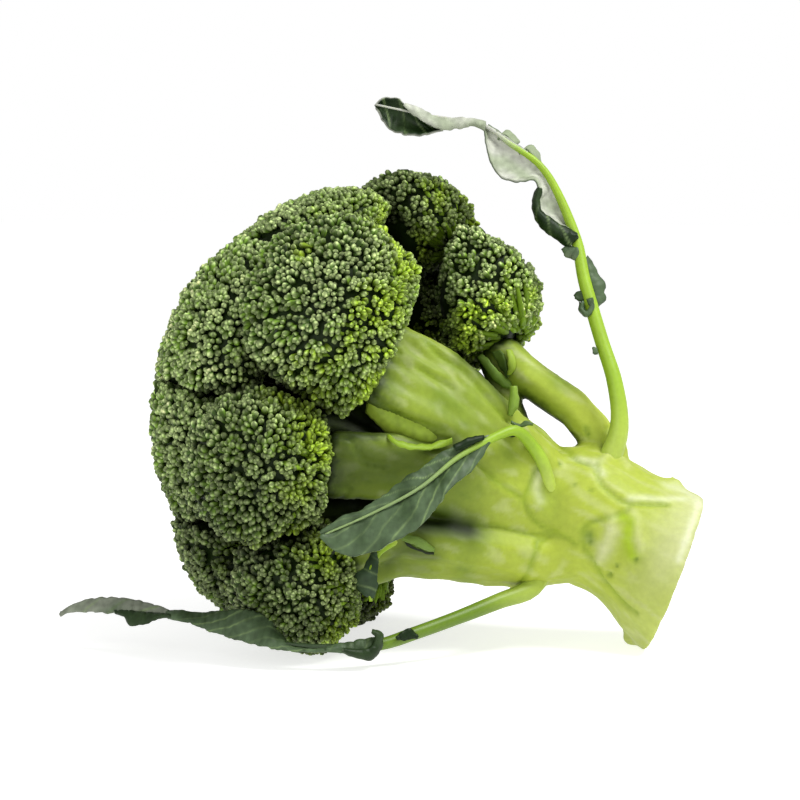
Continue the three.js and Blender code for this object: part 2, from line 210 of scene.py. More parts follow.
class Shape:
    """Triangles and quads with a colour at each point, gathered from several closed bodies."""

    def __init__(self):
        self.points = []
        self.faces = []
        self.colours = []
        self.count = 0

    def add(self, points, faces, colours):
        self.points.append(np.asarray(points, float))
        self.colours.append(np.broadcast_to(colours, (len(points), 3)).astype(float))
        self.faces.extend((np.asarray(face) + self.count).tolist() for face in faces)
        self.count += len(points)

    def object(self, name, node, material):
        points = np.vstack(self.points)
        points = np.clip(points, np.array(cad_low) / MM, np.array(cad_high) / MM)
        mesh = bpy.data.meshes.new(name)
        mesh.from_pydata((points * MM).tolist(), [], self.faces)
        mesh.polygons.foreach_set("use_smooth", [True] * len(mesh.polygons))
        layer = mesh.attributes.new("Tint", "FLOAT_COLOR", "POINT")
        tints = np.hstack([np.vstack(self.colours), np.ones((len(points), 1))])
        layer.data.foreach_set("color", tints.ravel())
        mesh.materials.append(material)
        mesh.update()
        piece = bpy.data.objects.new(name, mesh)
        bpy.context.scene.collection.objects.link(piece)
        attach(piece, "root")
        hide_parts(node)
        return piece


def plant_material(name, roughness=0.5, *, shine, grain, grain_size, bump, through=0.0):
    """The points' colours, which hold painted shade and highlights, broken up by fine noise, on a soft waxy
    surface.

    Grain is how much the noise darkens and lightens them, and through how much light goes into the plant.
    """
    material = bpy.data.materials.new(name)
    material.use_nodes = True
    nodes = material.node_tree.nodes
    links = material.node_tree.links
    surface = nodes["Principled BSDF"]
    tint = nodes.new("ShaderNodeAttribute")
    tint.attribute_name = "Tint"
    place = nodes.new("ShaderNodeTexCoord")
    speckle = nodes.new("ShaderNodeTexNoise")
    speckle.inputs["Scale"].default_value = 1 / (grain_size * MM)
    speckle.inputs["Detail"].default_value = 3.0
    links.new(place.outputs["Object"], speckle.inputs["Vector"])
    level = nodes.new("ShaderNodeMapRange")
    level.inputs["From Min"].default_value = 0.25
    level.inputs["From Max"].default_value = 0.75
    level.inputs["To Min"].default_value = 1 - grain
    level.inputs["To Max"].default_value = 1 + grain
    links.new(speckle.outputs["Fac"], level.inputs["Value"])
    shade = nodes.new("ShaderNodeVectorMath")
    shade.operation = "SCALE"
    links.new(tint.outputs["Color"], shade.inputs[0])
    links.new(level.outputs["Result"], shade.inputs["Scale"])
    links.new(shade.outputs["Vector"], surface.inputs["Base Color"])
    relief = nodes.new("ShaderNodeBump")
    relief.inputs["Strength"].default_value = bump
    relief.inputs["Distance"].default_value = grain_size * MM * 0.3
    links.new(speckle.outputs["Fac"], relief.inputs["Height"])
    links.new(relief.outputs["Normal"], surface.inputs["Normal"])
    surface.inputs["Roughness"].default_value = roughness
    surface.inputs["Specular IOR Level"].default_value = shine
    surface.inputs["Subsurface Weight"].default_value = through
    surface.inputs["Subsurface Scale"].default_value = 1.5 * MM
    surface.inputs["Subsurface Radius"].default_value = (0.8, 1.0, 0.3)
    return material


# The stalk

STALK_VOXEL = 1.0
STALK_SMOOTHING = 11
SHRINK_MOST = 1.2  # how far smoothing may have drawn the surface in, to be put back
PALE_CUT = linear(202, 202, 168)
PALE_RIM_AND_HIGHLIGHT = linear(222, 224, 200)
PALE_STEM = linear(160, 174, 60)
GREEN_STEM = linear(132, 151, 48)
DEEP_STEM = linear(98, 124, 34)
GROOVE_GREEN = linear(122, 146, 24)
# A dark green painted as the shade in hollows
HOLLOW_PAINTED_SHADE = linear(24, 34, 10)

# Grooves where branches and old leaves join the stem, as picture points
STEM_GROOVES = [
    [(546, 466), (536, 470), (532, 480), (528, 490), (524, 499), (530, 514), (541, 526), (557, 533)],
    [(475, 462), (482, 468), (498, 482), (522, 498)],
    [(480, 526), (498, 527), (528, 534), (541, 535), (557, 533)],
    [(538, 538), (536, 551), (530, 567), (520, 584)],
    [(608, 428), (605, 447), (597, 466), (600, 482), (616, 498), (632, 504), (667, 505)],
    [(632, 504), (622, 514), (601, 520), (586, 525), (582, 536), (584, 548), (594, 562), (603, 578),
     (621, 600), (637, 613)],
    [(541, 541), (552, 535), (565, 537), (575, 544)],
    [(562, 448), (575, 459), (592, 466)],
    [(404, 322), (423, 340), (440, 356), (465, 373), (488, 400), (510, 423)],
    [(338, 437), (350, 440), (358, 452), (366, 462), (385, 466)],
    [(336, 486), (349, 489), (341, 498)],
    [(378, 330), (398, 352), (424, 372), (452, 388)],
    [(372, 396), (396, 412), (424, 424), (446, 430)],
]
# Places that less light reaches (or more, where the share is below 0): a line, its width and the share lost
STEM_SHADES = [
    ([(424, 326), (442, 342), (462, 358), (484, 378), (502, 396)], 3.6, 0.65),
    ([(418, 524), (436, 523), (452, 525), (468, 529)], 4.6, 0.93),
    ([(336, 476), (362, 470), (400, 460), (436, 452)], 8.0, 0.55),
    ([(336, 450), (350, 446), (366, 446)], 4.0, 0.4),
    ([(388, 562), (402, 552), (432, 558)], 3.0, 0.5),
    ([(530, 372), (550, 389), (571, 408), (585, 428)], 6.0, -0.35),
]
# Places where the skin is nearly white: the cut's rim and the ridges that run to it, pale with bloom and with
# painted highlight
STEM_PALES_AND_HIGHLIGHTS = [
    ([(699, 503), (693, 520), (686, 540), (679, 560)], 1.0, 0.45),
    ([(668, 486), (680, 489), (690, 494), (698, 501)], 2.6, 0.35),
    ([(630, 499), (646, 498), (664, 499), (684, 498)], 1.3, 0.4),
    ([(560, 446), (574, 458), (590, 462), (602, 474)], 1.4, 0.4),
    ([(540, 472), (536, 486), (540, 500)], 1.6, 0.35),
]
GROOVE_DEPTH = 0.55
GROOVE_WIDTH = 0.9
# The ridges beside the old leaf's scar, and its bright torn edge
SCAR_RIDGES = [
    [(612, 520), (609, 533), (604, 546), (599, 560)],
    [(630, 512), (636, 522), (638, 536), (641, 549)],
    [(598, 462), (616, 456), (628, 466)],
]
SCAR_BRIGHT = [(623, 518), (630, 522), (628, 534), (629, 546), (633, 556)]
SCAR_PALE = [(614, 530), (609, 545), (603, 556)]
SCAR_HEIGHT = 0.8
SCAR_WIDTH = 1.4
SCAR_GREEN = linear(150, 178, 8)
# Small torn holes: the place, how wide and how deep
STEM_PITS = [
    (591, 490, 0.6, 0.5), (589, 535, 1.4, 0.8), (590, 542, 1.1, 0.7), (636, 560, 0.8, 0.9),
    (610, 574, 0.8, 0.9), (617, 566, 0.6, 0.5), (586, 429, 0.8, 0.6), (588, 435, 0.7, 0.4),
    (560, 464, 0.7, 0.3), (574, 485, 0.6, 0.2),
]


def evaluated_copy(source, modifiers):
    """A copy of a frame object's mesh after modifiers, as points and faces in millimetres."""
    copy = bpy.data.objects.new("working_copy", source.data.copy())
    bpy.context.scene.collection.objects.link(copy)
    for kind, settings in modifiers:
        modifier = copy.modifiers.new(kind, kind)
        for key, value in settings.items():
            setattr(modifier, key, value)
    graph = bpy.context.evaluated_depsgraph_get()
    mesh = bpy.data.meshes.new_from_object(copy.evaluated_get(graph))
    points = np.empty(len(mesh.vertices) * 3, np.float32)
    mesh.vertices.foreach_get("co", points)
    faces = [tuple(polygon.vertices) for polygon in mesh.polygons]
    normals = np.empty(len(mesh.vertices) * 3, np.float32)
    mesh.vertices.foreach_get("normal", normals)
    bpy.data.objects.remove(copy)
    bpy.data.meshes.remove(mesh)
    return points.reshape(-1, 3).astype(float) / MM, faces, normals.reshape(-1, 3).astype(float)


def distance_to(points, line):
    """How far each point is from a chain of points."""
    nearest = np.full(len(points), 1e9)
    for a, b in zip(line[:-1], line[1:]):
        step = b - a
        share = np.clip(((points - a) @ step) / max(step @ step, 1e-9), 0, 1)
        nearest = np.minimum(nearest, np.linalg.norm(points - a - share[:, None] * step, axis=1))
    return nearest


def nearby_mean(points, values, step, count):
    """Each point's mean of the values at the nearest few of every step-th point."""
    tree = tree_of(points[::step])
    sampled = values[::step]
    return np.array([sampled[[k for _, k, _ in tree.find_n(p, count)]].mean() for p in points])


class StalkSkin:
    """The stalk's fine surface, on which picture points are found."""

    def __init__(self, crown):
        self.points, self.faces, self.normals = evaluated_copy(
            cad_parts["stalk"],
            [
                ("WELD", {"merge_threshold": 1e-6}),
                ("REMESH", {"mode": "VOXEL", "voxel_size": STALK_VOXEL * MM}),
                ("SMOOTH", {"factor": 0.5, "iterations": STALK_SMOOTHING}),
            ],
        )
        drawn_in = np.zeros(len(self.points))
        for i, (point, normal) in enumerate(zip(self.points, self.normals)):
            drawn_in[i] = (np.array(crown.stalk.find_nearest(Vector(point))[0]) - point) @ normal
        drawn_in = np.clip(drawn_in, 0, SHRINK_MOST)
        self.points = self.points + nearby_mean(self.points, drawn_in, 11, 9)[:, None] * self.normals
        self.tree = BVHTree.FromPolygons([Vector(p) for p in self.points], self.faces)

    def at(self, u, v):
        """The place that shows at a picture point, or None beside the stalk."""
        hit = self.tree.ray_cast(Vector(EYE), Vector(unit(seen(u, v, 0.0) - EYE)))[0]
        return None if hit is None else np.array(hit)

    def traced(self, line):
        return [p for p in (self.at(u, v) for u, v in line) if p is not None]

    def depth_at(self, u, v):
        """The stalk's depth at a picture point, or at the nearest one that shows it."""
        for reach in range(0, 30, 3):
            for k in range(8):
                turn = k * math.pi / 4
                hit = self.at(u + reach * math.cos(turn), v + reach * math.sin(turn))
                if hit is not None:
                    return shown(hit)[2]
        return 0.0

    def near(self, lines, width, steps):
        """How near each point is to the nearest of the picture lines, from 1 on it to 0 away from it."""
        chains = [spline(self.traced(line), steps) for line in lines]
        nearest = np.min([distance_to(self.points, chain) for chain in chains], axis=0)
        return np.exp(-((nearest / width) ** 2))


def mixed(colours, other, share):
    """The colours, moved by each point's share towards another one."""
    return colours + (other - colours) * share[:, None]


def stalk_marks(skin, streaks, patches):
    """How far the skin's grooves, ridges and pits lift it, and its colours in full light, with painted
    highlights on the pale ridges and painted shade in the pits.
    """
    points = skin.points
    along = (points - CUT_CENTRE) @ STEM_AXIS
    grain = noise_at(streaks, 1.0)
    lift = 0.18 * grain + 0.35 * noise_at(points, 7.0, 9.0)
    from_stem = smoothstep(30, 70, along + 6 * patches)
    colours = mixed(np.broadcast_to(PALE_STEM, points.shape), GREEN_STEM, from_stem)
    # Paler towards the cut, where the stem is paler, and more so on its top than low down: painted light from
    # above
    near_cut_and_lit_top = smoothstep(16, 0, along + 3 * patches) * (0.3 + 0.7 * smoothstep(14, 34, points[:, 2]))
    colours = mixed(colours, PALE_CUT, 0.5 * near_cut_and_lit_top)
    colours = mixed(colours, PALE_CUT, 0.2 * smoothstep(0.05, 0.5, noise_at(streaks, 1.0, 31.0)))
    # The pale rim and ridges: bloom, with a painted highlight along the lit ridges
    for line, width, share in STEM_PALES_AND_HIGHLIGHTS:
        colours = mixed(colours, PALE_RIM_AND_HIGHLIGHT, share * skin.near([line], width, 16))
    deep = 0.5 * smoothstep(0.05, 0.7, patches) + 0.35 * smoothstep(0.1, 0.8, grain)
    colours = mixed(colours, DEEP_STEM, np.clip(deep, 0, 1) * (0.25 + 0.75 * from_stem))

    near = skin.near(STEM_GROOVES, GROOVE_WIDTH, 24)
    lift += 0.35 * (skin.near(STEM_GROOVES, 3.0 * GROOVE_WIDTH, 24) - near) - GROOVE_DEPTH * near
    colours = mixed(colours, GROOVE_GREEN, 0.6 * near)
    near = skin.near(SCAR_RIDGES, SCAR_WIDTH, 24)
    lift += SCAR_HEIGHT * near
    colours = mixed(colours, PALE_CUT, 0.25 * near)
    colours = mixed(colours, PALE_CUT, 0.35 * skin.near([SCAR_PALE], 2.2, 12))
    near = skin.near([SCAR_BRIGHT], 1.5, 12)
    lift += 0.4 * near
    colours = mixed(colours, SCAR_GREEN, 0.75 * near)
    for u, v, width, depth in STEM_PITS:
        apart = np.linalg.norm(points - skin.at(u, v), axis=1) / width
        near = np.exp(-(apart**2))
        lift += depth * (0.2 * np.exp(-(((apart - 1.9) / 0.6) ** 2)) - near)
        # Darker in each pit: painted shade
        colours = mixed(colours, DEEP_STEM, 0.85 * near)
    return lift, colours


def stalk_piece(skin, crown, material):
    points, normals = skin.points, skin.normals
    along = (points - CUT_CENTRE) @ STEM_AXIS
    side = points @ np.cross(STEM_AXIS, [0, 1, 0])
    streaks = np.stack([along / 14, points[:, 1] / 2.4, side / 2.4], axis=1)
    lift, colours = stalk_marks(skin, streaks, noise_at(points, 11.0, 5.0))

    # Shade painted into the stalk's colours: darker where little of the studio's light reaches, under the
    # crown, low on the branches and along the listed lines, and lighter along the line whose share is below 0
    open_share = np.zeros(len(points))
    every = np.arange(0, len(points), STALK_LIGHT_STEP)
    open_share[every] = crown.open_share(points[every], normals[every], STALK_SHADE_REACH)
    open_share = nearby_mean(points, open_share, STALK_LIGHT_STEP, 5)
    under_crown = smoothstep(62, 92, along) * smoothstep(0.85, 0.5, open_share)
    shade = (0.08 + 0.92 * smoothstep(0.05, 0.8, open_share)) * (1 - 0.45 * under_crown)
    shade *= 1 - 0.22 * smoothstep(70, 40, points[:, 2]) * smoothstep(50, 65, along)
    for line, width, share in STEM_SHADES:
        shade *= 1 - share * skin.near([line], width, 12)
    painted_shade_by_channel = np.stack([shade**1.12, shade, shade**1.25], axis=1)
    shape = Shape()
    shape.add(points + lift[:, None] * normals, skin.faces, np.clip(colours * painted_shade_by_channel, 0, 1))
    stalk_bits(shape, Sheet(skin.depth_at))
    return shape.object("stalk_body", "stalk", material)


def stalk_bits(shape, sheet):
    """The bracts, stubs and torn bits on the stalk, between edges given as picture points."""

    def bit(one, two, lifts, colour, on=sheet, **more):
        on.onto(shape, one, two, lifts=lifts, front=colour, back=DEEP_STEM, ripple=0.15, **more)

    def level_with(u, v):
        """A sheet that keeps the stalk's depth at one picture point."""
        depth = sheet.depth_at(u, v)
        return Sheet(lambda _u, _v: depth)

    # The bract under the small far floret, and a dark sheet of painted shade in the hollow behind it
    bit([(478, 357), (485, 368), (493, 378), (502, 386), (512, 389)],
        [(482, 354), (489, 361), (496, 369), (503, 376), (510, 381)],
        ([0.5, 1.5, 2, 1.5, 0.5], [0.5, 2, 2.6, 2, 0.5]), linear(96, 124, 44), level_with(512, 388),
        bulge=0.5, rows=20, columns=6)
    bit([(492, 352), (497, 362), (502, 370), (508, 378)], [(500, 350), (505, 357), (507, 366), (509, 376)],
        (0.5, 0.5), linear(58, 80, 30), rows=16, columns=6, shade=DEEP_STEM)
    bit([(506, 350), (508, 358), (509, 366), (508, 375)], [(511, 350), (514, 357), (516, 364), (511, 374)],
        (1.0, 0.3), linear(140, 164, 52), bulge=0.4, rows=16, columns=8)
    # The thin leftover stalk beside the gap
    bit([(511, 386), (510, 396), (509, 406), (509, 415)], [(516, 386), (518, 396), (517, 406), (511, 416)],
        ([1, 1.2, 1.2, 0.6], [1, 1.2, 1.2, 0.6]), linear(118, 146, 50), level_with(505, 404), bulge=1.2,
        rows=16, columns=8)
    # Torn bits where the middle leaf starts, and a dark sheet of painted shade in the hollow beside them
    for one, two in (([(511, 421), (517, 424), (522, 425)], [(511, 423), (517, 427), (522, 428)]),
                     ([(519, 426), (525, 421), (533, 424)], [(519, 428), (526, 425), (533, 425)])):
        bit(one, two, (2.4, 2.8), linear(70, 92, 50), level_with(514, 432), rows=14, columns=5)
    bit([(504, 432), (509, 429), (514, 431), (517, 434)], [(506, 436), (510, 437), (514, 437), (516, 436)],
        (1.2, 1.2), HOLLOW_PAINTED_SHADE, rows=10, columns=5)
    # The nearest branch's lower side, which bends down over the gap below it
    nearest = Sheet(lambda u, v: sheet.depth_at(u + 10, v - 26))
    bit([(370, 388), (388, 399), (408, 409), (430, 419), (454, 428)],
        [(366, 412), (386, 431), (404, 441), (428, 444), (452, 440)],
        (-0.9, [-6.0, -5.0, -4.5, -3.5, -2.0]), linear(140, 163, 52), nearest, bulge=2.2, rows=40, columns=18,
        shade=GREEN_STEM)
    # The strip along that branch's lower edge
    bit([(386, 433), (394, 439), (404, 443), (416, 445), (428, 445), (440, 442), (452, 438)],
        [(387, 437), (395, 444), (404, 448), (416, 450), (429, 450), (441, 447), (452, 443)],
        ([0.5, 1.5, 2, 2, 2, 1.5, 0.5], [0.5, 2, 2.6, 2.6, 2.6, 2, 0.5]), linear(128, 156, 40), bulge=0.4,
        rows=30, columns=6)
    # The short spur over the lower branch, and the shade below it
    bit([(400, 536), (410, 536), (421, 539), (434, 549)], [(402, 539), (412, 543), (423, 548), (434, 551)],
        ([0.8, 2, 2, 0.3], [0.8, 2.4, 2.2, 0.3]), linear(104, 130, 54), bulge=0.6, rows=18, columns=6)
    bit([(404, 541), (412, 545), (423, 550), (434, 552)], [(407, 546), (415, 549), (425, 553), (434, 554)],
        (0.6, 0.5), HOLLOW_PAINTED_SHADE, rows=14, columns=4)


# The florets

# Pale at the tips with their waxy bloom and a painted glint
BUD_TIP_BLOOM_AND_GLINT = linear(170, 188, 124)
BUD_SIDE = linear(70, 94, 40)
BUD_GREEN = linear(104, 136, 42)
BUD_FOOT_SHADE = linear(22, 38, 4)
BUD_BRIGHT = linear(156, 186, 40)
CORE_PAINTED_SHADE = linear(24, 38, 8)
STALKLET_GREEN = linear(116, 148, 34)
# Painted highlights: each bud is lighter along its sepals' edges and darker between them
SEPAL_EDGE_HIGHLIGHT = 1.9  # how much lighter a bud is along the edges of its sepals
SEPAL_MIDDLE = 0.6
BUD_POINT = 0.62  # and at its very tip
LEAFLET_SHARE = 0.01  # of the buds, which are young and green wherever they stand
TOP_LIGHTER = 0.32  # how much lighter the buds are over the crown's top than at its middle
# Where the florets' rims show their bright young buds most: picture points and how far round them
BRIGHT_PATCHES = [((386, 350), 30), ((405, 262), 14), ((316, 426), 17), ((300, 250), 8)]
# Painted shade and light: florets painted darker as they lie in shade, and lighter as they are lit
FLORET_LIGHT_AND_SHADE = {1: 0.88, 2: 0.85, 7: 0.66, 8: 1.1, 10: 0.3}  # of florets darker or lighter than the rest

# Bare little stalks that show on the lowest floret, from where they part to their tips, as picture points
SPRAY_FLORET = 3
SPRAY_ROOT = (357, 638)
SPRAY_TIPS = [(330, 624), (333, 618), (338, 613), (343, 611), (348, 612), (353, 616), (357, 622), (334, 629),
              (361, 629)]
SPRAY_GREEN = linear(138, 168, 40)


def bud_points():
    """One bud's points about its own middle, with its tip towards +Z, and its faces."""
    turns = np.arange(BUD_SIDES) * 2 * math.pi / BUD_SIDES
    points = []
    for height, width in BUD_RINGS:
        points += [[width * math.cos(a), width * math.sin(a), height] for a in turns]
    points.append([0, 0, 1.0])
    faces = []
    for ring in range(len(BUD_RINGS) - 1):
        for k in range(BUD_SIDES):
            a = ring * BUD_SIDES + k
            b = ring * BUD_SIDES + (k + 1) % BUD_SIDES
            faces.append([a, b, b + BUD_SIDES, a + BUD_SIDES])
    top = (len(BUD_RINGS) - 1) * BUD_SIDES
    tip = len(points) - 1
    faces += [[top + k, top + (k + 1) % BUD_SIDES, tip] for k in range(BUD_SIDES)]
    faces.append(list(range(BUD_SIDES))[::-1])
    return np.array(points), faces


BUD, BUD_FACES = bud_points()


def frames_for(axes):
    """Two more unit vectors square to each axis."""
    other = np.where(np.abs(axes[:, 2:3]) < 0.9, [[0.0, 0.0, 1.0]], [[1.0, 0.0, 0.0]])
    first = unit(np.cross(axes, other))
    return first, np.cross(axes, first)


def darts_on(points, triangles, spacing):
    """Places spread over a surface, no two closer than the spacing, each with its triangle."""
    cross = face_normals(points, triangles)
    area = np.linalg.norm(cross, axis=1) / 2
    count = int(DARTS_EACH * area.sum() / spacing**2)
    face = rng.choice(len(area), count, p=area / area.sum())
    first, second = rng.random((2, count))
    folded = first + second > 1
    first[folded], second[folded] = 1 - first[folded], 1 - second[folded]
    corners = points[triangles[face]]
    places = corners[:, 0] + first[:, None] * (corners[:, 1] - corners[:, 0])
    places += second[:, None] * (corners[:, 2] - corners[:, 0])
    return places, face, unit(cross)[face]


def thinned(places, spacings):
    """The places kept when each keeps the later ones its spacing away."""
    tree = tree_of(places)
    covered = np.zeros(len(places), bool)
    kept = []
    for i, place in enumerate(places):
        if covered[i]:
            continue
        kept.append(i)
        for _, j, _ in tree.find_range(place, spacings[i]):
            covered[j] = True
    return np.array(kept)


def limb(path, radii, sides):
    """A closed round limb along a path, as points and faces."""
    path = np.asarray(path)
    tangents = unit(np.gradient(path, axis=0))
    first, _ = frames_for(tangents[:1])
    first = first[0]
    points = []
    for centre, tangent, radius in zip(path, tangents, radii):
        first = first - (first @ tangent) * tangent
        first /= np.linalg.norm(first)
        second = np.cross(tangent, first)
        for k in range(sides):
            turn = 2 * math.pi * k / sides
            points.append(centre + radius * (math.cos(turn) * first + math.sin(turn) * second))
    faces = []
    for i in range(len(path) - 1):
        for k in range(sides):
            a = i * sides + k
            b = i * sides + (k + 1) % sides
            faces.append([a, b, b + sides, a + sides])
    last = (len(path) - 1) * sides
    faces.append(list(range(sides))[::-1])
    faces.append([last + k for k in range(sides)])
    return np.array(points), faces


def domed_faces(points, triangles):
    """Which triangles are of the floret's rounded outside, and not of a flat side that faces a neighbour."""
    cross = face_normals(points, triangles)
    area = np.linalg.norm(cross, axis=1) / 2
    normals = unit(cross)
    level = (normals * points[triangles[:, 0]]).sum(axis=1)
    keys = np.round(np.hstack([normals * 25, level[:, None] * 2])).astype(int)
    _, group = np.unique(keys, axis=0, return_inverse=True)
    group = group.reshape(-1)
    total = np.bincount(group, weights=area)
    many = np.bincount(group)
    return ~((many[group] >= 2) & (total[group] > FLAT_SIDE_AREA))


class Crown:
    """The florets' solids, the smooth surface that their tops share, and what hides light from a point."""

    def __init__(self, stalk_tree):
        self.arrays = {}
        self.trees = {}
        self.headings = []
        self.tops = []
        for number in range(1, FLORET_COUNT + 1):
            points, triangles = mesh_arrays(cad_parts[f"floret_{number:02d}"].data)
            self.arrays[number] = (points, triangles)
            self.trees[number] = BVHTree.FromPolygons([Vector(p) for p in points], triangles.tolist())
            self.headings.append(unit(points.mean(axis=0) - CROWN_CENTRE))
            self.tops.append(np.linalg.norm(points - CROWN_CENTRE, axis=1).max())
        self.headings = np.array(self.headings)
        self.tops = np.array(self.tops)
        every_point = np.vstack([self.arrays[n][0] for n in self.arrays])
        every_face = []
        start = 0
        for points, triangles in self.arrays.values():
            every_face += (triangles + start).tolist()
            start += len(points)
        self.whole = BVHTree.FromPolygons([Vector(p) for p in every_point], every_face)
        self.stalk = stalk_tree

    def filled(self, number, points, normals, axis):
        """The points of a groove between florets, raised towards the florets' shared surface."""
        away = points - CROWN_CENTRE
        reach = np.linalg.norm(away, axis=1)
        heading = away / reach[:, None]
        weight = np.exp(GROOVE_BLEND * (heading @ self.headings.T - 1))
        shared = np.minimum((weight @ self.tops) / weight.sum(axis=1), self.tops[number - 1])
        lift = np.clip(GROOVE_FILL * (shared - 2.0 - reach), 0, GROOVE_FILL_MOST)
        outside = smoothstep(0.1, 0.6, (normals * heading).sum(axis=1))
        outside *= smoothstep(-0.3, 0.2, normals @ axis)
        near_top = smoothstep(20, 8, shared - reach)
        return points + (lift * outside * near_top)[:, None] * heading

    def touched(self, number, place, normal):
        """Whether another floret lies just off a place on one floret."""
        start = Vector(place + 0.05 * normal)
        for other, tree in self.trees.items():
            if other != number and tree.ray_cast(start, Vector(normal), CONTACT_REACH)[0] is not None:
                return True
        return False

    def open_share(self, points, normals, reach):
        """How much of the studio's light reaches each point: 1 in the open and 0 deep inside."""
        share = np.zeros(len(points))
        for i, (point, normal) in enumerate(zip(points, normals)):
            start = Vector(point + 1.5 * normal)
            got = 0.0
            total = 0.0
            for ray, strength in LIGHT_RAYS:
                facing = max(ray @ normal + 0.35, 0.0) * strength
                if facing == 0.0:
                    continue
                total += facing
                heading = Vector(ray)
                if self.whole.ray_cast(start, heading, reach)[0] is not None:
                    continue
                if self.stalk.ray_cast(start, heading, reach)[0] is not None:
                    continue
                got += facing
            share[i] = got / total if total else 0.0
        return share


def spread_rays(count):
    """Even directions, each with the strength of the studio's light from there."""
    lamp = unit(0.45 * RIGHT + 0.85 * UP + 0.3 * BACK)
    rays = []
    for k in range(count):
        height = 1 - (2 * k + 1) / count
        turn = k * math.pi * (3 - math.sqrt(5))
        ring = math.sqrt(1 - height * height)
        ray = np.array([ring * math.cos(turn), ring * math.sin(turn), height])
        strength = SKY_STRENGTH + LAMP_STRENGTH * max(ray @ lamp, 0.0) ** LAMP_FOCUS
        rays.append((ray, strength))
    return rays


LIGHT_RAYS = spread_rays(LIGHT_RAY_COUNT)


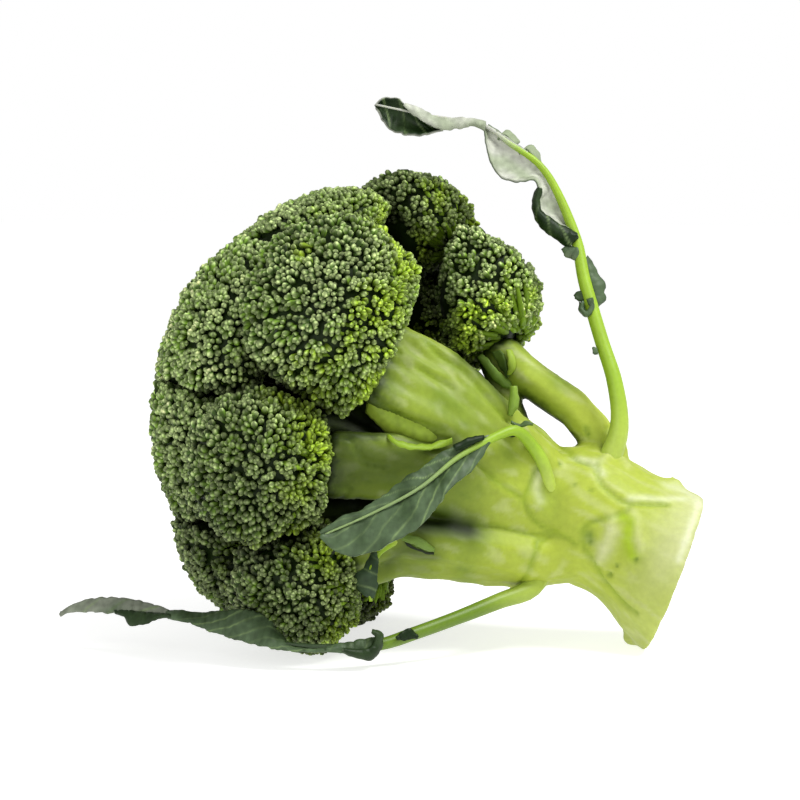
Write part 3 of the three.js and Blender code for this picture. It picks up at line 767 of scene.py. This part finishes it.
class Buds:
    """One floret's buds: where each stands and points, its size and its colours."""

    def __init__(self, number, crown):
        self.number = number
        self.crown = crown
        self.points, self.triangles = crown.arrays[number]
        self.centroid = self.points.mean(axis=0)
        self.axis = unit(0.7 * CROWN_AXIS + 0.55 * crown.headings[number - 1])
        self.deep = self.centroid - DEEP_INSIDE * self.axis
        self.domed = domed_faces(self.points, self.triangles)
        self.scatter()
        self.bunch_up()
        self.find_light()

    def core(self):
        """The floret's solid, drawn in below its buds, and painted dark as the shade in the gaps between
        them.
        """
        swell = unit(self.points - self.deep)
        sink = np.full(len(self.points), CORE_SINK_UNDER)
        sink[self.triangles[self.domed]] = CORE_SINK
        raised = self.crown.filled(self.number, self.points, swell, self.axis)
        return raised - sink[:, None] * swell, self.triangles, CORE_PAINTED_SHADE

    def scatter(self):
        """Places all over the dome and just past its rim, with half of the solid's relief."""
        outward = self.crown.headings[self.number - 1]
        dome = BVHTree.FromPolygons([Vector(p) for p in self.points], self.triangles[self.domed].tolist())
        places, face, normals = darts_on(self.points, self.triangles, BUD_SPACING[0])
        budded = self.domed[face]
        for i, place in enumerate(places):
            if budded[i] or outward @ normals[i] < -0.9:
                continue
            budded[i] = dome.find_nearest(Vector(place), RIM_REACH)[0] is not None
            if budded[i] and self.crown.touched(self.number, place, normals[i]):
                budded[i] = False
        places, normals = places[budded], normals[budded]
        swell = unit(places - self.deep)
        places = self.crown.filled(self.number, places, swell, self.axis)
        stemward = smoothstep(0.55, -0.2, (places - CROWN_CENTRE) @ CROWN_AXIS / CROWN_RADIUS)
        spacings = BUD_SPACING[1] + (BUD_SPACING[0] - BUD_SPACING[1]) * stemward
        kept = thinned(places, spacings)
        places = places[kept]
        self.normals = normals[kept]
        self.swell = swell[kept]
        self.spacings = spacings[kept]
        heights = np.linalg.norm(places - self.deep, axis=1)
        tree = tree_of(places)
        around = [np.mean([heights[j] for _, j, _ in tree.find_range(p, RELIEF_REACH)]) for p in places]
        self.places = places + ((1 - RELIEF_KEPT) * (np.array(around) - heights))[:, None] * self.swell

    def bunch_up(self):
        """The buds of a bunch stand on a little dome and point away from each other."""
        places = self.places
        self.heads = thinned(places, np.full(len(places), 1.75 * BUNCH_REACH))
        tree = tree_of(places[self.heads])
        self.bunch = np.array([tree.find(p)[1] for p in places])
        offset = places - places[self.heads][self.bunch]
        offset -= (offset * self.swell).sum(axis=1)[:, None] * self.swell
        self.from_head = np.linalg.norm(offset, axis=1) / BUNCH_REACH
        dome = BUNCH_DOME * (0.5 - np.minimum(self.from_head, 1.15) ** 2) + 0.5 * noise_at(places, 9.0, 2.0)
        heading = unit(0.35 * self.normals + 0.75 * self.swell + BUNCH_SPLAY * offset / BUNCH_REACH)
        self.heading = unit(heading + 0.16 * rng.standard_normal(places.shape))
        self.places = places + dome[:, None] * self.swell

    def find_light(self):
        """How much each bud belongs to the bright rim, and how open to the light it is."""
        places = self.places
        self.level = (places - CROWN_CENTRE) @ CROWN_AXIS / CROWN_RADIUS
        rim = smoothstep(0.42, -0.2, self.swell @ self.axis + 0.12 * rng.standard_normal(len(places)))
        rim *= smoothstep(0.5, 0.2, self.level)
        rim *= 0.2 + 0.8 * smoothstep(-0.15, 0.35, noise_at(places, 13.0, 4.0))
        picture = shown(places)
        for spot, width in BRIGHT_PATCHES:
            apart = np.hypot(picture[:, 0] - spot[0], picture[:, 1] - spot[1]) / width
            patch = np.exp(-(apart**2)) * smoothstep(0, 20, picture[:, 2])
            rim = np.maximum(rim, patch * smoothstep(-0.35, 0.3, noise_at(places, 7.0, 4.0)))
        self.rim = rim
        self.open_share = self.crown.open_share(places + 1.0 * self.swell, self.heading, BUD_SHADE_REACH)

    def solids(self):
        """Every bud's points and faces."""
        count = len(self.places)
        first, second = frames_for(self.heading)
        turn = rng.uniform(0, 2 * math.pi, count)[:, None]
        first, second = (
            np.cos(turn) * first + np.sin(turn) * second,
            np.cos(turn) * second - np.sin(turn) * first,
        )
        width = BUD_WIDTH * self.spacings * rng.uniform(0.82, 1.18, count) * (1 - 0.1 * self.rim)
        length = BUD_LENGTH * self.spacings * rng.uniform(0.85, 1.15, count)
        centres = self.places - (BUD_SINK + rng.uniform(-0.6, 0.6, count))[:, None] * self.heading
        solid = (
            centres[:, None, :]
            + (width[:, None] * BUD[None, :, 0])[..., None] * first[:, None, :]
            + (width[:, None] * BUD[None, :, 1])[..., None] * second[:, None, :]
            + (length[:, None] * BUD[None, :, 2])[..., None] * self.heading[:, None, :]
        )
        offsets = np.arange(count)[:, None] * len(BUD)
        return solid.reshape(-1, 3), [row for face in BUD_FACES for row in offsets + np.array(face)[None, :]]

    def colours(self):
        """A colour for each bud's every point: dark at the foot with painted shade between the buds, and
        lightest along its sepals' edges with painted highlights.
        """
        places = self.places
        young = 0.45 + 0.9 * noise_at(places, 12.0) + 0.25 * rng.standard_normal(len(self.heads))[self.bunch]
        young = np.maximum(np.clip(young, 0, 1), rng.random(len(places)) < LEAFLET_SHARE)[:, None]
        rim = self.rim[:, None]
        # Pale tips: bloom and a painted glint
        tip = BUD_TIP_BLOOM_AND_GLINT + (BUD_SIDE - BUD_TIP_BLOOM_AND_GLINT) * (0.55 * young)
        tip = tip + (BUD_BRIGHT - tip) * (0.75 * rim)
        side = BUD_SIDE + (BUD_GREEN - BUD_SIDE) * young
        side = side + (BUD_BRIGHT - side) * (0.9 * rim)
        # Dark at the foot: painted shade between the buds, less on the rim's bright buds
        base = BUD_FOOT_SHADE + (BUD_BRIGHT - BUD_FOOT_SHADE) * (0.6 * rim**2)
        height = np.clip((BUD[:, 2] + 1) / 2, 0, 1)
        low = smoothstep(0.4, 0.8, height)[None, :, None]
        high = smoothstep(0.76, 0.93, height)[None, :, None]
        colours = base[:, None, :] * (1 - low) + side[:, None, :] * low
        colours = colours * (1 - high) + tip[:, None, :] * high
        # Painted highlight streaks along the sepals' edges
        sepal_highlight = np.where(np.arange(len(BUD)) % 3 == 0, SEPAL_EDGE_HIGHLIGHT, SEPAL_MIDDLE)
        sepal_highlight[-1] = BUD_POINT
        # Shade painted into the buds' colours: darker at a bunch's edge, where little of the studio's light
        # reaches, low on the crown, and on the florets listed as in shade
        shade = 1 - 0.35 * smoothstep(0.45, 1.1, self.from_head) * (1 - 0.7 * self.rim)
        shade *= rng.uniform(0.7, 1.3, len(places)) * (0.3 + 0.7 * smoothstep(0.1, 0.85, self.open_share))
        shade *= FLORET_LIGHT_AND_SHADE.get(self.number, 1.0) * (0.58 + 0.42 * smoothstep(30, 80, places[:, 2]))
        shade *= 1 + TOP_LIGHTER * smoothstep(0.35, 0.85, self.level)
        return np.clip((colours * sepal_highlight[None, :, None] * shade[:, None, None]).reshape(-1, 3), 0, 1)

    def add_stalklets(self, shape):
        """The little stalks that fan out to the buds at the rim."""
        foot = self.centroid - self.axis * (0.5 * np.ptp(self.points @ self.axis))
        for i in np.flatnonzero(self.swell @ self.axis < 0.1)[::STALKLET_EVERY]:
            end = self.places[i] - 2.2 * self.heading[i]
            start = foot + 0.5 * (end - foot) - 0.25 * ((end - foot) @ self.axis) * self.axis
            middle = 0.5 * (start + end) + 0.8 * unit(end - self.centroid)
            tube, faces = limb(spline([start, middle, end], 4), np.linspace(1.0, 0.6, 4), 5)
            # Darker where little light reaches: painted shade
            shape.add(tube, faces, STALKLET_GREEN * rng.uniform(0.5, 1.0) * (0.4 + 0.6 * self.open_share[i]))


def add_spray(shape, tree):
    """The bare little stalks on the lowest floret."""
    for u, v in SPRAY_TIPS:
        ends = [(u, v), (0.5 * (u + SPRAY_ROOT[0]), 0.5 * (v + SPRAY_ROOT[1]) - 1.5), SPRAY_ROOT]
        hits = [tree.ray_cast(Vector(EYE), Vector(unit(seen(*end, 0.0) - EYE)))[0] for end in ends]
        if None in hits:
            continue
        path = spline([np.array(hit) + 1.2 * BACK for hit in hits], 7)
        tube, faces = limb(path, np.linspace(0.32, 0.42, 7), 5)
        shape.add(tube, faces, SPRAY_GREEN * rng.uniform(0.8, 1.1))


def floret_piece(number, crown, material):
    buds = Buds(number, crown)
    shape = Shape()
    shape.add(*buds.core())
    shape.add(*buds.solids(), buds.colours())
    buds.add_stalklets(shape)
    if number == SPRAY_FLORET:
        add_spray(shape, crown.trees[number])
    name = f"floret_{number:02d}"
    return shape.object(name + "_buds", name, material)


# The leaves

# Each rib's path from the stalk to the leaf's tip, in millimetres, and its radii
UPPER_WAY = [
    (85.5, -24, 50),
    (89, -22.5, 62),
    (87.2, -20, 74.5),
    (82.3, -16, 87),
    (76.5, -11, 103),
    (73.3, -7, 114.5),
    (67.4, -5, 128),
    (61.7, -5, 136.5),
    (53, -5, 142.5),
    (46, -5, 147.5),
    (37, -6, 149.5),
    (28, -7.5, 151),
    (20.5, -8.5, 152.5),
    (13.5, -9, 154),
]
MIDDLE_ROOT = [(552, 494), (548, 478), (542, 461), (533, 447)]  # picture points on the stalk
MIDDLE_ROOT_LIFTS = [-2.4, 0.0, 1.0, 1.8]
MIDDLE_WAY = [
    seen(519, 432, 33.5),
    seen(504, 433, 36.5),
    (52, -61, 57),
    (43, -70, 49),
    (31.5, -76, 42.5),
    (18.5, -82.5, 36.5),
]
LOWER_WAY = [
    (70, -33, 23),
    (67, -40, 17.5),
    (60, -47, 15),
    (51.5, -57, 12),
    (41.5, -67, 8.7),
    (32.5, -75, 6.2),
    (21, -82, 6),
    (7, -84.5, 7.5),
    (-8.5, -81, 10.5),
    (-26, -77, 12),
    (-44, -72, 13),
    (-62.5, -69, 10),
]
SMALL_WAY = [(34, -60, 33), (30.5, -67, 30), (29, -71.5, 24.5), (29.5, -71.5, 17.5)]
UPPER_RIB = [3.6, 2.5, 2.1, 2.0, 1.75, 1.3, 0.95, 0.6, 0.35, 0.3]
MIDDLE_RIB = [1.7, 1.9, 1.7, 1.3, 0.9, 0.65, 0.5, 0.4, 0.32, 0.28]
LOWER_RIB = [3.4, 2.3, 1.9, 1.8, 1.3, 0.4, 0.3, 0.3, 0.3, 0.3]
SMALL_RIB = [1.0, 0.8, 0.6, 0.5]

RIB_GREEN = linear(138, 170, 38)
RIB_SHADED = linear(94, 122, 24)
RIB_PALE = linear(172, 190, 80)
LEAF_UNDER = linear(174, 176, 164)
LEAF_UNDER_GREEN = linear(134, 146, 116)
LEAF_TOP = linear(72, 90, 62)
LEAF_TOP_DEEP = linear(42, 60, 30)
LEAF_GLOSS_DARK = linear(14, 34, 4)
LEAF_GREY = linear(122, 128, 112)
LEAF_HOLLOW = linear(110, 134, 110)
LEAF_BLUE = linear(54, 72, 50)
LEAF_VEIN = linear(126, 148, 94)
UNDER_VEIN = linear(188, 194, 172)
LEAF_THICK = 0.7
EDGE_UNEVEN = 0.45
RIB_STEPS = 60
RIB_SIDES = 12
VEIN_WIDTH = 0.06  # as a share of the way from one vein to the next
VEIN_SHOWS = 0.75
VEIN_HEIGHT = 0.15
MOTTLING = 0.8  # how much of the second colour the darkest patches take
SPECKLING = 0.3

# How the leaves' sides look, and the shade they are mottled with
UNDERSIDE = {"front": LEAF_UNDER, "back": LEAF_TOP, "vein": UNDER_VEIN, "shade": LEAF_UNDER_GREEN}
TOPSIDE = {"front": LEAF_TOP, "back": LEAF_UNDER_GREEN, "shade": LEAF_TOP_DEEP}
GLOSSY = {"front": LEAF_GLOSS_DARK, "back": LEAF_UNDER, "shade": LEAF_TOP_DEEP}
FOLDED = {"front": LEAF_TOP_DEEP, "back": LEAF_UNDER_GREEN, "shade": LEAF_GLOSS_DARK}


def rib_piece(leaf, way, radii, green=RIB_GREEN, fade=1.0, over=0.08, far_colour=LEAF_UNDER):
    """A leaf's rib; past the share fade of its length it takes the leaf's own colour."""
    path = spline(way, RIB_STEPS)
    shares = np.linspace(0, 1, RIB_STEPS)
    points, faces = limb(path, evenly(radii, shares), RIB_SIDES)
    tone = np.repeat(smoothstep(0.0, 0.2, shares), RIB_SIDES)[:, None]
    colours = RIB_PALE + (green - RIB_PALE) * tone
    colours *= (1 + 0.12 * noise_at(points, 6.0, 8.0))[:, None]
    far = np.repeat(smoothstep(fade, fade + over, shares), RIB_SIDES)[:, None]
    colours += (far_colour - colours) * far
    shape = Shape()
    shape.add(points, faces, colours)
    return shape.object(f"leaf_{leaf}_midrib", f"leaf_{leaf}_rib", rib_material)


def beside(way):
    """A function that gives the depth of the nearest point of a rib's path to a picture point."""
    path = np.array([shown(p) for p in spline(way, 80)])
    return lambda u, v: path[np.argmin(np.hypot(path[:, 0] - u, path[:, 1] - v)), 2]


class Sheet:
    """A thin closed surface between two edges given as picture points, laid at the depth given for each."""

    def __init__(self, depth_at):
        self.depth_at = depth_at

    def edge(self, line, lift, rows):
        lifts = evenly(np.atleast_1d(lift), np.linspace(0, 1, rows))
        picture = spline(line, rows)
        placed = np.array([seen(u, v, self.depth_at(u, v) + more) for (u, v), more in zip(picture, lifts)])
        uneven = EDGE_UNEVEN * np.sin(np.pi * np.linspace(0, 1, rows)) ** 0.5
        placed += (uneven * noise_at(placed, 1.6, 6.0))[:, None] * UP
        return placed + (uneven * noise_at(placed, 1.6, 16.0))[:, None] * RIGHT

    def onto(self, shape, one, two, lifts=(0.0, 0.0), bulge=0.0, rows=40, columns=14, ripple=0.3, front=None,
             back=None, vein=LEAF_VEIN, veins=0, slant=0.5, shade=None):
        """Adds the sheet between two edges. Lifts bring an edge towards the camera, and bulge its middle."""
        a = self.edge(one, lifts[0], rows)
        b = self.edge(two, lifts[1], rows)
        across = np.linspace(0, 1, columns)
        row = np.linspace(0, 1, rows)[:, None]

        def noisy(size, shift):
            return noise_at(grid.reshape(-1, 3), size, shift).reshape(rows, columns)

        grid = a[:, None, :] * (1 - across)[None, :, None] + b[:, None, :] * across[None, :, None]
        grid = grid + (bulge * 4 * across * (1 - across) + ripple * noisy(5.0, 3.0))[..., None] * BACK
        colour = np.broadcast_to(front, (rows, columns, 3)).copy()
        if veins:
            phase = row * veins + slant * across * veins / 3 + 0.16 * noisy(7.0, 41.0)
            line = np.exp(-(((phase % 1.0 - 0.5) / VEIN_WIDTH) ** 2))
            line *= smoothstep(0, 0.15, row) * smoothstep(1, 0.85, row)
            line *= 0.45 + 0.55 * np.sin(3.7 * np.floor(phase)) ** 2
            colour += (vein - colour) * (VEIN_SHOWS * line)[..., None]
            grid = grid + (VEIN_HEIGHT * line)[..., None] * BACK
        if shade is not None:
            colour += (shade - colour) * (MOTTLING * smoothstep(-0.3, 0.6, noisy(6.0, 11.0)))[..., None]
            colour *= (1 + SPECKLING * noisy(1.5, 21.0))[..., None]
        normal = unit(np.cross(np.gradient(grid, axis=0), np.gradient(grid, axis=1)))
        turned = (normal @ BACK).sum() < 0
        if turned:
            normal = -normal
        sides = [grid + half * LEAF_THICK * normal for half in (0.5, -0.5)]
        points = np.vstack([side.reshape(-1, 3) for side in sides])
        colours = np.vstack([colour.reshape(-1, 3), np.broadcast_to(back, (rows * columns, 3))])
        shape.add(points, sheet_faces(rows, columns, turned), colours)


def sheet_faces(rows, columns, turned):
    """The faces of a sheet's two sides and of the strip round its rim."""
    total = rows * columns
    faces = []
    for i in range(rows - 1):
        for j in range(columns - 1):
            p = i * columns + j
            quad = [p, p + columns, p + columns + 1, p + 1]
            faces += [quad, [total + k for k in quad[::-1]]]
    rim = [i * columns for i in range(rows)]
    rim += [(rows - 1) * columns + j for j in range(1, columns)]
    rim += [i * columns + columns - 1 for i in range(rows - 2, -1, -1)]
    rim += list(range(columns - 2, 0, -1))
    faces += [[q, p, total + p, total + q] for p, q in zip(rim, rim[1:] + rim[:1])]
    return [face[::-1] for face in faces] if turned else faces


def upper_leaf():
    sheet = Sheet(beside(UPPER_WAY))
    pale = Shape()
    fold = [(542, 192), (539, 203), (542, 212), (550, 218), (558, 224), (569, 229), (577, 234)]
    margin = [(485, 130), (487, 149), (493, 167), (502, 177), (513, 181), (523, 181), (534, 179), (538, 186)]
    rib_side = [(488, 125), (502, 134), (516, 143), (528, 152), (539, 163), (550, 178), (559, 195),
                (566, 211), (573, 227), (577, 234)]
    sheet.onto(pale, margin + fold, rib_side, lifts=([0, 2, 4, 3, 2, 1], 0.3), bulge=-2.0, rows=70,
               columns=22, veins=9, slant=-0.9, **UNDERSIDE)
    strip_top = [(486, 122), (478, 120), (472, 119), (462, 118), (451, 119), (434, 117), (429, 114),
                 (418, 108), (405, 104)]
    strip_low = [(485, 131), (480, 128), (472, 125), (462, 128), (454, 128), (448, 130), (440, 129),
                 (431, 126), (423, 121), (413, 115), (404, 105)]
    sheet.onto(pale, strip_top, strip_low, lifts=(0, [0, 1, 2, 2]), bulge=0.8, rows=50, columns=10, veins=5,
               **UNDERSIDE)
    for torn in ([(503, 136), (506, 131), (512, 133), (520, 142)],
                 [(524, 150), (531, 145), (539, 154), (541, 162)]):
        root = [(u - 5, v + 4) for u, v in torn]
        sheet.onto(pale, torn, root, lifts=(-1.5, 0), rows=14, columns=6, ripple=0.5, front=LEAF_UNDER_GREEN,
                   back=LEAF_TOP)
    pale.object("leaf_upper_underside", "leaf_upper_blade", under_material)

    dark = Shape()
    curl = [(538, 188), (534, 195), (533, 203), (534, 213), (539, 225), (547, 233), (558, 240), (568, 246),
            (578, 237)]
    sheet.onto(dark, curl, [(541, 189)] + fold, lifts=(1.5, [2, 3, 3, 2]), bulge=1.6, columns=10, veins=4,
               **GLOSSY)
    flap = [(562, 249), (566, 256), (574, 260), (578, 258)]
    flap_in = [(566, 246), (572, 247), (577, 246), (579, 250)]
    sheet.onto(dark, flap, flap_in, lifts=(0.5, 1), bulge=0.8, rows=16, columns=8, front=LEAF_TOP,
               back=LEAF_UNDER, shade=LEAF_UNDER_GREEN)
    tip_top = [(442, 128), (431, 125), (423, 120), (413, 114), (404, 104), (397, 99), (387, 97), (381, 100),
               (375, 106)]
    tip_low = [(443, 130), (426, 134), (414, 135), (400, 133), (389, 128), (383, 120), (379, 112), (376, 108)]
    sheet.onto(dark, tip_top, tip_low, lifts=([1, 0, -1, -1, 0], [1, 2, 2, 1, 0]), bulge=-2.2, rows=46,
               veins=4, **GLOSSY)
    lobe = [(587, 256), (593, 265), (600, 277), (605, 285), (603, 292), (605, 299), (598, 306)]
    lobe_in = [(584, 262), (587, 270), (590, 282), (592, 290), (594, 299), (595, 306)]
    sheet.onto(dark, lobe, lobe_in, lifts=(-2, -0.5), bulge=0.6, rows=26, columns=9, front=LEAF_TOP,
               back=LEAF_UNDER, shade=LEAF_TOP_DEEP)
    scrap = [(574, 296), (576, 292), (580, 291), (583, 292)]
    scrap_low = [(575, 298), (578, 300), (581, 301), (585, 300)]
    sheet.onto(dark, scrap, scrap_low, lifts=(0.5, 1), rows=10, columns=5, front=LEAF_TOP_DEEP, back=LEAF_TOP)
    ring = [(592, 298), (594, 306), (590, 314), (584, 316), (580, 310), (580, 302)]
    ring_in = [(587, 300), (590, 306), (588, 311), (585, 312), (583, 308), (582, 303)]
    sheet.onto(dark, ring, ring_in, lifts=(1.8, 3), bulge=0.8, rows=26, columns=7, front=LEAF_TOP,
               back=LEAF_TOP_DEEP, shade=LEAF_TOP_DEEP)
    hollow = [(592, 300), (593, 307), (589, 313)]
    hollow_in = [(582, 301), (581, 308), (585, 314)]
    sheet.onto(dark, hollow, hollow_in, lifts=(1, 1), bulge=-0.8, rows=12, columns=8, front=LEAF_HOLLOW,
               back=LEAF_TOP_DEEP)
    speck = [(592, 348), (594, 347), (597, 349)]
    speck_low = [(593, 353), (595, 355), (598, 354)]
    sheet.onto(dark, speck, speck_low, lifts=(1.8, 1.8), rows=6, columns=4, front=LEAF_TOP, back=LEAF_TOP)
    dark.object("leaf_upper_topside", "leaf_upper_blade", leaf_material)


def middle_leaf(way):
    sheet = Sheet(beside(way))
    shape = Shape()
    rib = [(494, 435), (480, 444), (464, 456), (446, 471), (429, 485), (412, 495), (394, 505), (377, 513),
           (357, 522), (338, 529), (321, 534)]
    above = [(484, 437), (471, 438), (462, 444), (449, 449), (437, 456), (421, 469), (411, 474), (402, 481),
             (393, 488), (383, 496), (371, 504), (358, 512), (345, 515), (333, 523), (320, 532)]
    below = [(492, 438), (488, 445), (481, 458), (472, 470), (461, 480), (449, 490), (441, 502), (433, 513),
             (424, 522), (416, 530), (406, 536), (395, 541), (386, 546), (379, 550), (364, 554), (351, 556),
             (337, 552), (328, 545), (320, 536)]
    for edge, lift in ((above, [0, -1, -2, -2, -1, 0]), (below, [0, 2, 3, 3, 2, 0])):
        sheet.onto(shape, edge, rib, lifts=(lift, -0.9), bulge=0.7, rows=80, columns=20, ripple=0.35, veins=7,
                   slant=0.7, **TOPSIDE)
    fold = [(484, 436), (473, 437), (462, 441), (453, 446)]
    fold_in = [(484, 439), (474, 443), (464, 447), (456, 451)]
    sheet.onto(shape, fold, fold_in, lifts=(1, 1.4), bulge=0.5, rows=16, columns=6, front=LEAF_GLOSS_DARK,
               back=LEAF_TOP)
    shape.object("leaf_middle_topside", "leaf_middle_blade", leaf_material)


def lower_leaf():
    sheet = Sheet(beside(LOWER_WAY))
    shape = Shape()
    tip_top = [(60, 614), (70, 607), (88, 600), (109, 598), (132, 600), (150, 604), (164, 608), (173, 613)]
    tip_low = [(60, 616), (70, 612), (95, 612), (107, 614), (118, 612), (132, 611), (150, 614), (171, 617)]
    sheet.onto(shape, tip_top, tip_low, lifts=([0, -1, -2, -2, 0], [0, 1, 2, 1, 0]), bulge=0.8, rows=50,
               columns=10, ripple=0.4, front=LEAF_GREY, back=LEAF_UNDER_GREEN, veins=4, shade=LEAF_TOP)
    flap = [(114, 611), (132, 611), (150, 613), (171, 615)]
    flap_low = [(116, 613), (125, 617), (131, 626), (140, 625), (149, 623), (159, 618), (171, 617)]
    sheet.onto(shape, flap, flap_low, lifts=(2, [2, 3.5, 2]), bulge=0.8, rows=30, columns=8, **FOLDED)
    above = [(166, 611), (182, 611), (196, 613), (219, 612), (237, 610), (251, 611), (265, 616), (272, 624),
             (281, 636), (295, 646), (312, 648), (330, 647)]
    below = [(168, 618), (187, 622), (205, 629), (228, 637), (247, 643), (265, 647), (283, 650), (305, 651),
             (330, 651)]
    sheet.onto(shape, above, below, lifts=([0, -2, -3, -3, -1], [1, 2, 3, 2, 1]), bulge=1.4, rows=80,
               columns=22, ripple=0.5, veins=8, slant=0.9, **TOPSIDE)
    end_top = [(326, 647), (336, 645), (350, 642), (366, 639), (377, 637)]
    end_low = [(326, 651), (341, 652), (352, 656), (366, 657), (377, 651)]
    sheet.onto(shape, end_top, end_low, lifts=(1.5, 2.5), bulge=0.8, rows=26, columns=10, veins=3, **TOPSIDE)
    curl = [(372, 630), (382, 633), (382, 643), (379, 651), (371, 659), (356, 657), (343, 651)]
    curl_in = [(372, 632), (376, 637), (374, 643), (369, 648), (361, 650), (352, 650), (343, 649)]
    sheet.onto(shape, curl, curl_in, lifts=(3, 3.5), bulge=1, rows=30, columns=8, **FOLDED)
    patch = [(396, 638), (403, 631), (409, 629), (418, 637)]
    patch_low = [(397, 639), (403, 640), (410, 639), (418, 638)]
    sheet.onto(shape, patch, patch_low, lifts=(2.2, 2.2), rows=16, columns=6, bulge=0.3, ripple=0.1,
               front=LEAF_GLOSS_DARK, back=LEAF_TOP)
    shape.object("leaf_lower_topside", "leaf_lower_blade", leaf_material)


def small_leaf():
    sheet = Sheet(beside(SMALL_WAY))
    shape = Shape()
    right_edge = [(376, 552), (378, 561), (377, 575), (378, 586), (373, 598)]
    left_edge = [(372, 553), (368, 561), (361, 571), (354, 577), (356, 586), (363, 593), (372, 598)]
    sheet.onto(shape, right_edge, left_edge, lifts=(0.5, -1), bulge=0.6, rows=36, ripple=0.35,
               front=LEAF_BLUE, back=LEAF_UNDER_GREEN, veins=3, slant=0.6, shade=LEAF_TOP_DEEP)
    shape.object("leaf_small_topside", "leaf_small_blade", leaf_material)


stalk_material = plant_material("stalk_wax", shine=0.22, grain=0.07, grain_size=1.6, bump=0.12, through=0.15)
bud_material = plant_material("bud_bloom", shine=0.12, grain=0.14, grain_size=0.7, bump=0.1)
rib_material = plant_material("rib_wax", 0.45, shine=0.35, grain=0.06, grain_size=1.2, bump=0.1, through=0.1)
leaf_material = plant_material("leaf_topside", shine=0.2, grain=0.16, grain_size=1.8, bump=0.25)
under_material = plant_material("leaf_underside_felt", 0.7, shine=0.2, grain=0.1, grain_size=1.4, bump=0.25)

stalk_points, stalk_triangles = mesh_arrays(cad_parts["stalk"].data)
crown = Crown(BVHTree.FromPolygons([Vector(p) for p in stalk_points], stalk_triangles.tolist()))
skin = StalkSkin(crown)
stalk_piece(skin, crown, stalk_material)
for number in range(1, FLORET_COUNT + 1):
    floret_piece(number, crown, bud_material)

middle_root = zip(MIDDLE_ROOT, MIDDLE_ROOT_LIFTS)
middle_way = [seen(u, v, skin.depth_at(u, v) + more) for (u, v), more in middle_root] + MIDDLE_WAY
rib_piece("upper", UPPER_WAY, UPPER_RIB, fade=0.68)
rib_piece("middle", middle_way, MIDDLE_RIB, fade=0.32, over=0.35, far_colour=LEAF_VEIN)
rib_piece("lower", LOWER_WAY, LOWER_RIB, RIB_SHADED, 0.37, far_colour=LEAF_TOP_DEEP)
rib_piece("small", SMALL_WAY, SMALL_RIB)
upper_leaf()
middle_leaf(middle_way)
lower_leaf()
small_leaf()


# The floor, the light and the camera

# In metres: the floor's half width, and its height, a hair below what rests on it
FLOOR_HALF = 6.0
FLOOR_Z = -0.00005
WHITE = (1.0, 1.0, 1.0, 1.0)


def make_floor():
    mesh = bpy.data.meshes.new("floor")
    corners = [(-1, -1), (1, -1), (1, 1), (-1, 1)]
    mesh.from_pydata([(FLOOR_HALF * x, FLOOR_HALF * y, FLOOR_Z) for x, y in corners], [], [(0, 1, 2, 3)])
    material = bpy.data.materials.new("floor_white")
    material.use_nodes = True
    surface = material.node_tree.nodes["Principled BSDF"]
    surface.inputs["Base Color"].default_value = (0.6, 0.6, 0.6, 1.0)
    surface.inputs["Emission Color"].default_value = WHITE
    surface.inputs["Emission Strength"].default_value = 0.7
    surface.inputs["Roughness"].default_value = 0.9
    surface.inputs["Specular IOR Level"].default_value = 0.1
    mesh.materials.append(material)
    floor = bpy.data.objects.new("floor", mesh)
    bpy.context.scene.collection.objects.link(floor)


def make_light(name, direction, away, size, watts):
    """A square soft light that faces the head from a direction given as right, up and towards the camera.

    Its distance away and its size are in metres.
    """
    data = bpy.data.lights.new(name, "AREA")
    data.size = size
    data.energy = watts
    lamp = bpy.data.objects.new(name, data)
    heading = unit(direction[0] * RIGHT + direction[1] * UP + direction[2] * BACK)
    lamp.location = Vector(TARGET * MM + away * heading)
    lamp.rotation_mode = "QUATERNION"
    lamp.rotation_quaternion = Vector(-heading).to_track_quat("-Z", "Y")
    bpy.context.scene.collection.objects.link(lamp)


make_floor()
make_light("key", (0.55, 1.0, 0.35), away=0.9, size=0.4, watts=9.0)
make_light("front", (-0.5, 0.35, 1.0), away=1.0, size=0.6, watts=2.5)

# The studio is white behind the head, and dimmer as a light on it
world = bpy.data.worlds.new("studio")
world.use_nodes = True
world_nodes = world.node_tree.nodes
world_links = world.node_tree.links
dim = world_nodes["Background"]
dim.inputs["Color"].default_value = WHITE
dim.inputs["Strength"].default_value = 0.5
bright = world_nodes.new("ShaderNodeBackground")
bright.inputs["Color"].default_value = WHITE
bright.inputs["Strength"].default_value = 1.0
path = world_nodes.new("ShaderNodeLightPath")
either = world_nodes.new("ShaderNodeMixShader")
world_links.new(path.outputs["Is Camera Ray"], either.inputs["Fac"])
world_links.new(dim.outputs["Background"], either.inputs[1])
world_links.new(bright.outputs["Background"], either.inputs[2])
world_links.new(either.outputs["Shader"], world_nodes["World Output"].inputs["Surface"])
bpy.context.scene.world = world
bpy.context.scene.view_settings.view_transform = "Standard"

camera_data = bpy.data.cameras.new("camera")
camera_data.sensor_width = SENSOR_MM
camera_data.lens = SENSOR_MM * FOCAL_PIXELS / PICTURE
camera_data.clip_start = 0.01
camera_data.clip_end = 50.0
camera = bpy.data.objects.new("camera", camera_data)
camera.location = Vector(EYE * MM)
camera.rotation_mode = "QUATERNION"
camera.rotation_quaternion = Vector(-BACK).to_track_quat("-Z", "Y")
bpy.context.scene.collection.objects.link(camera)
bpy.context.scene.camera = camera
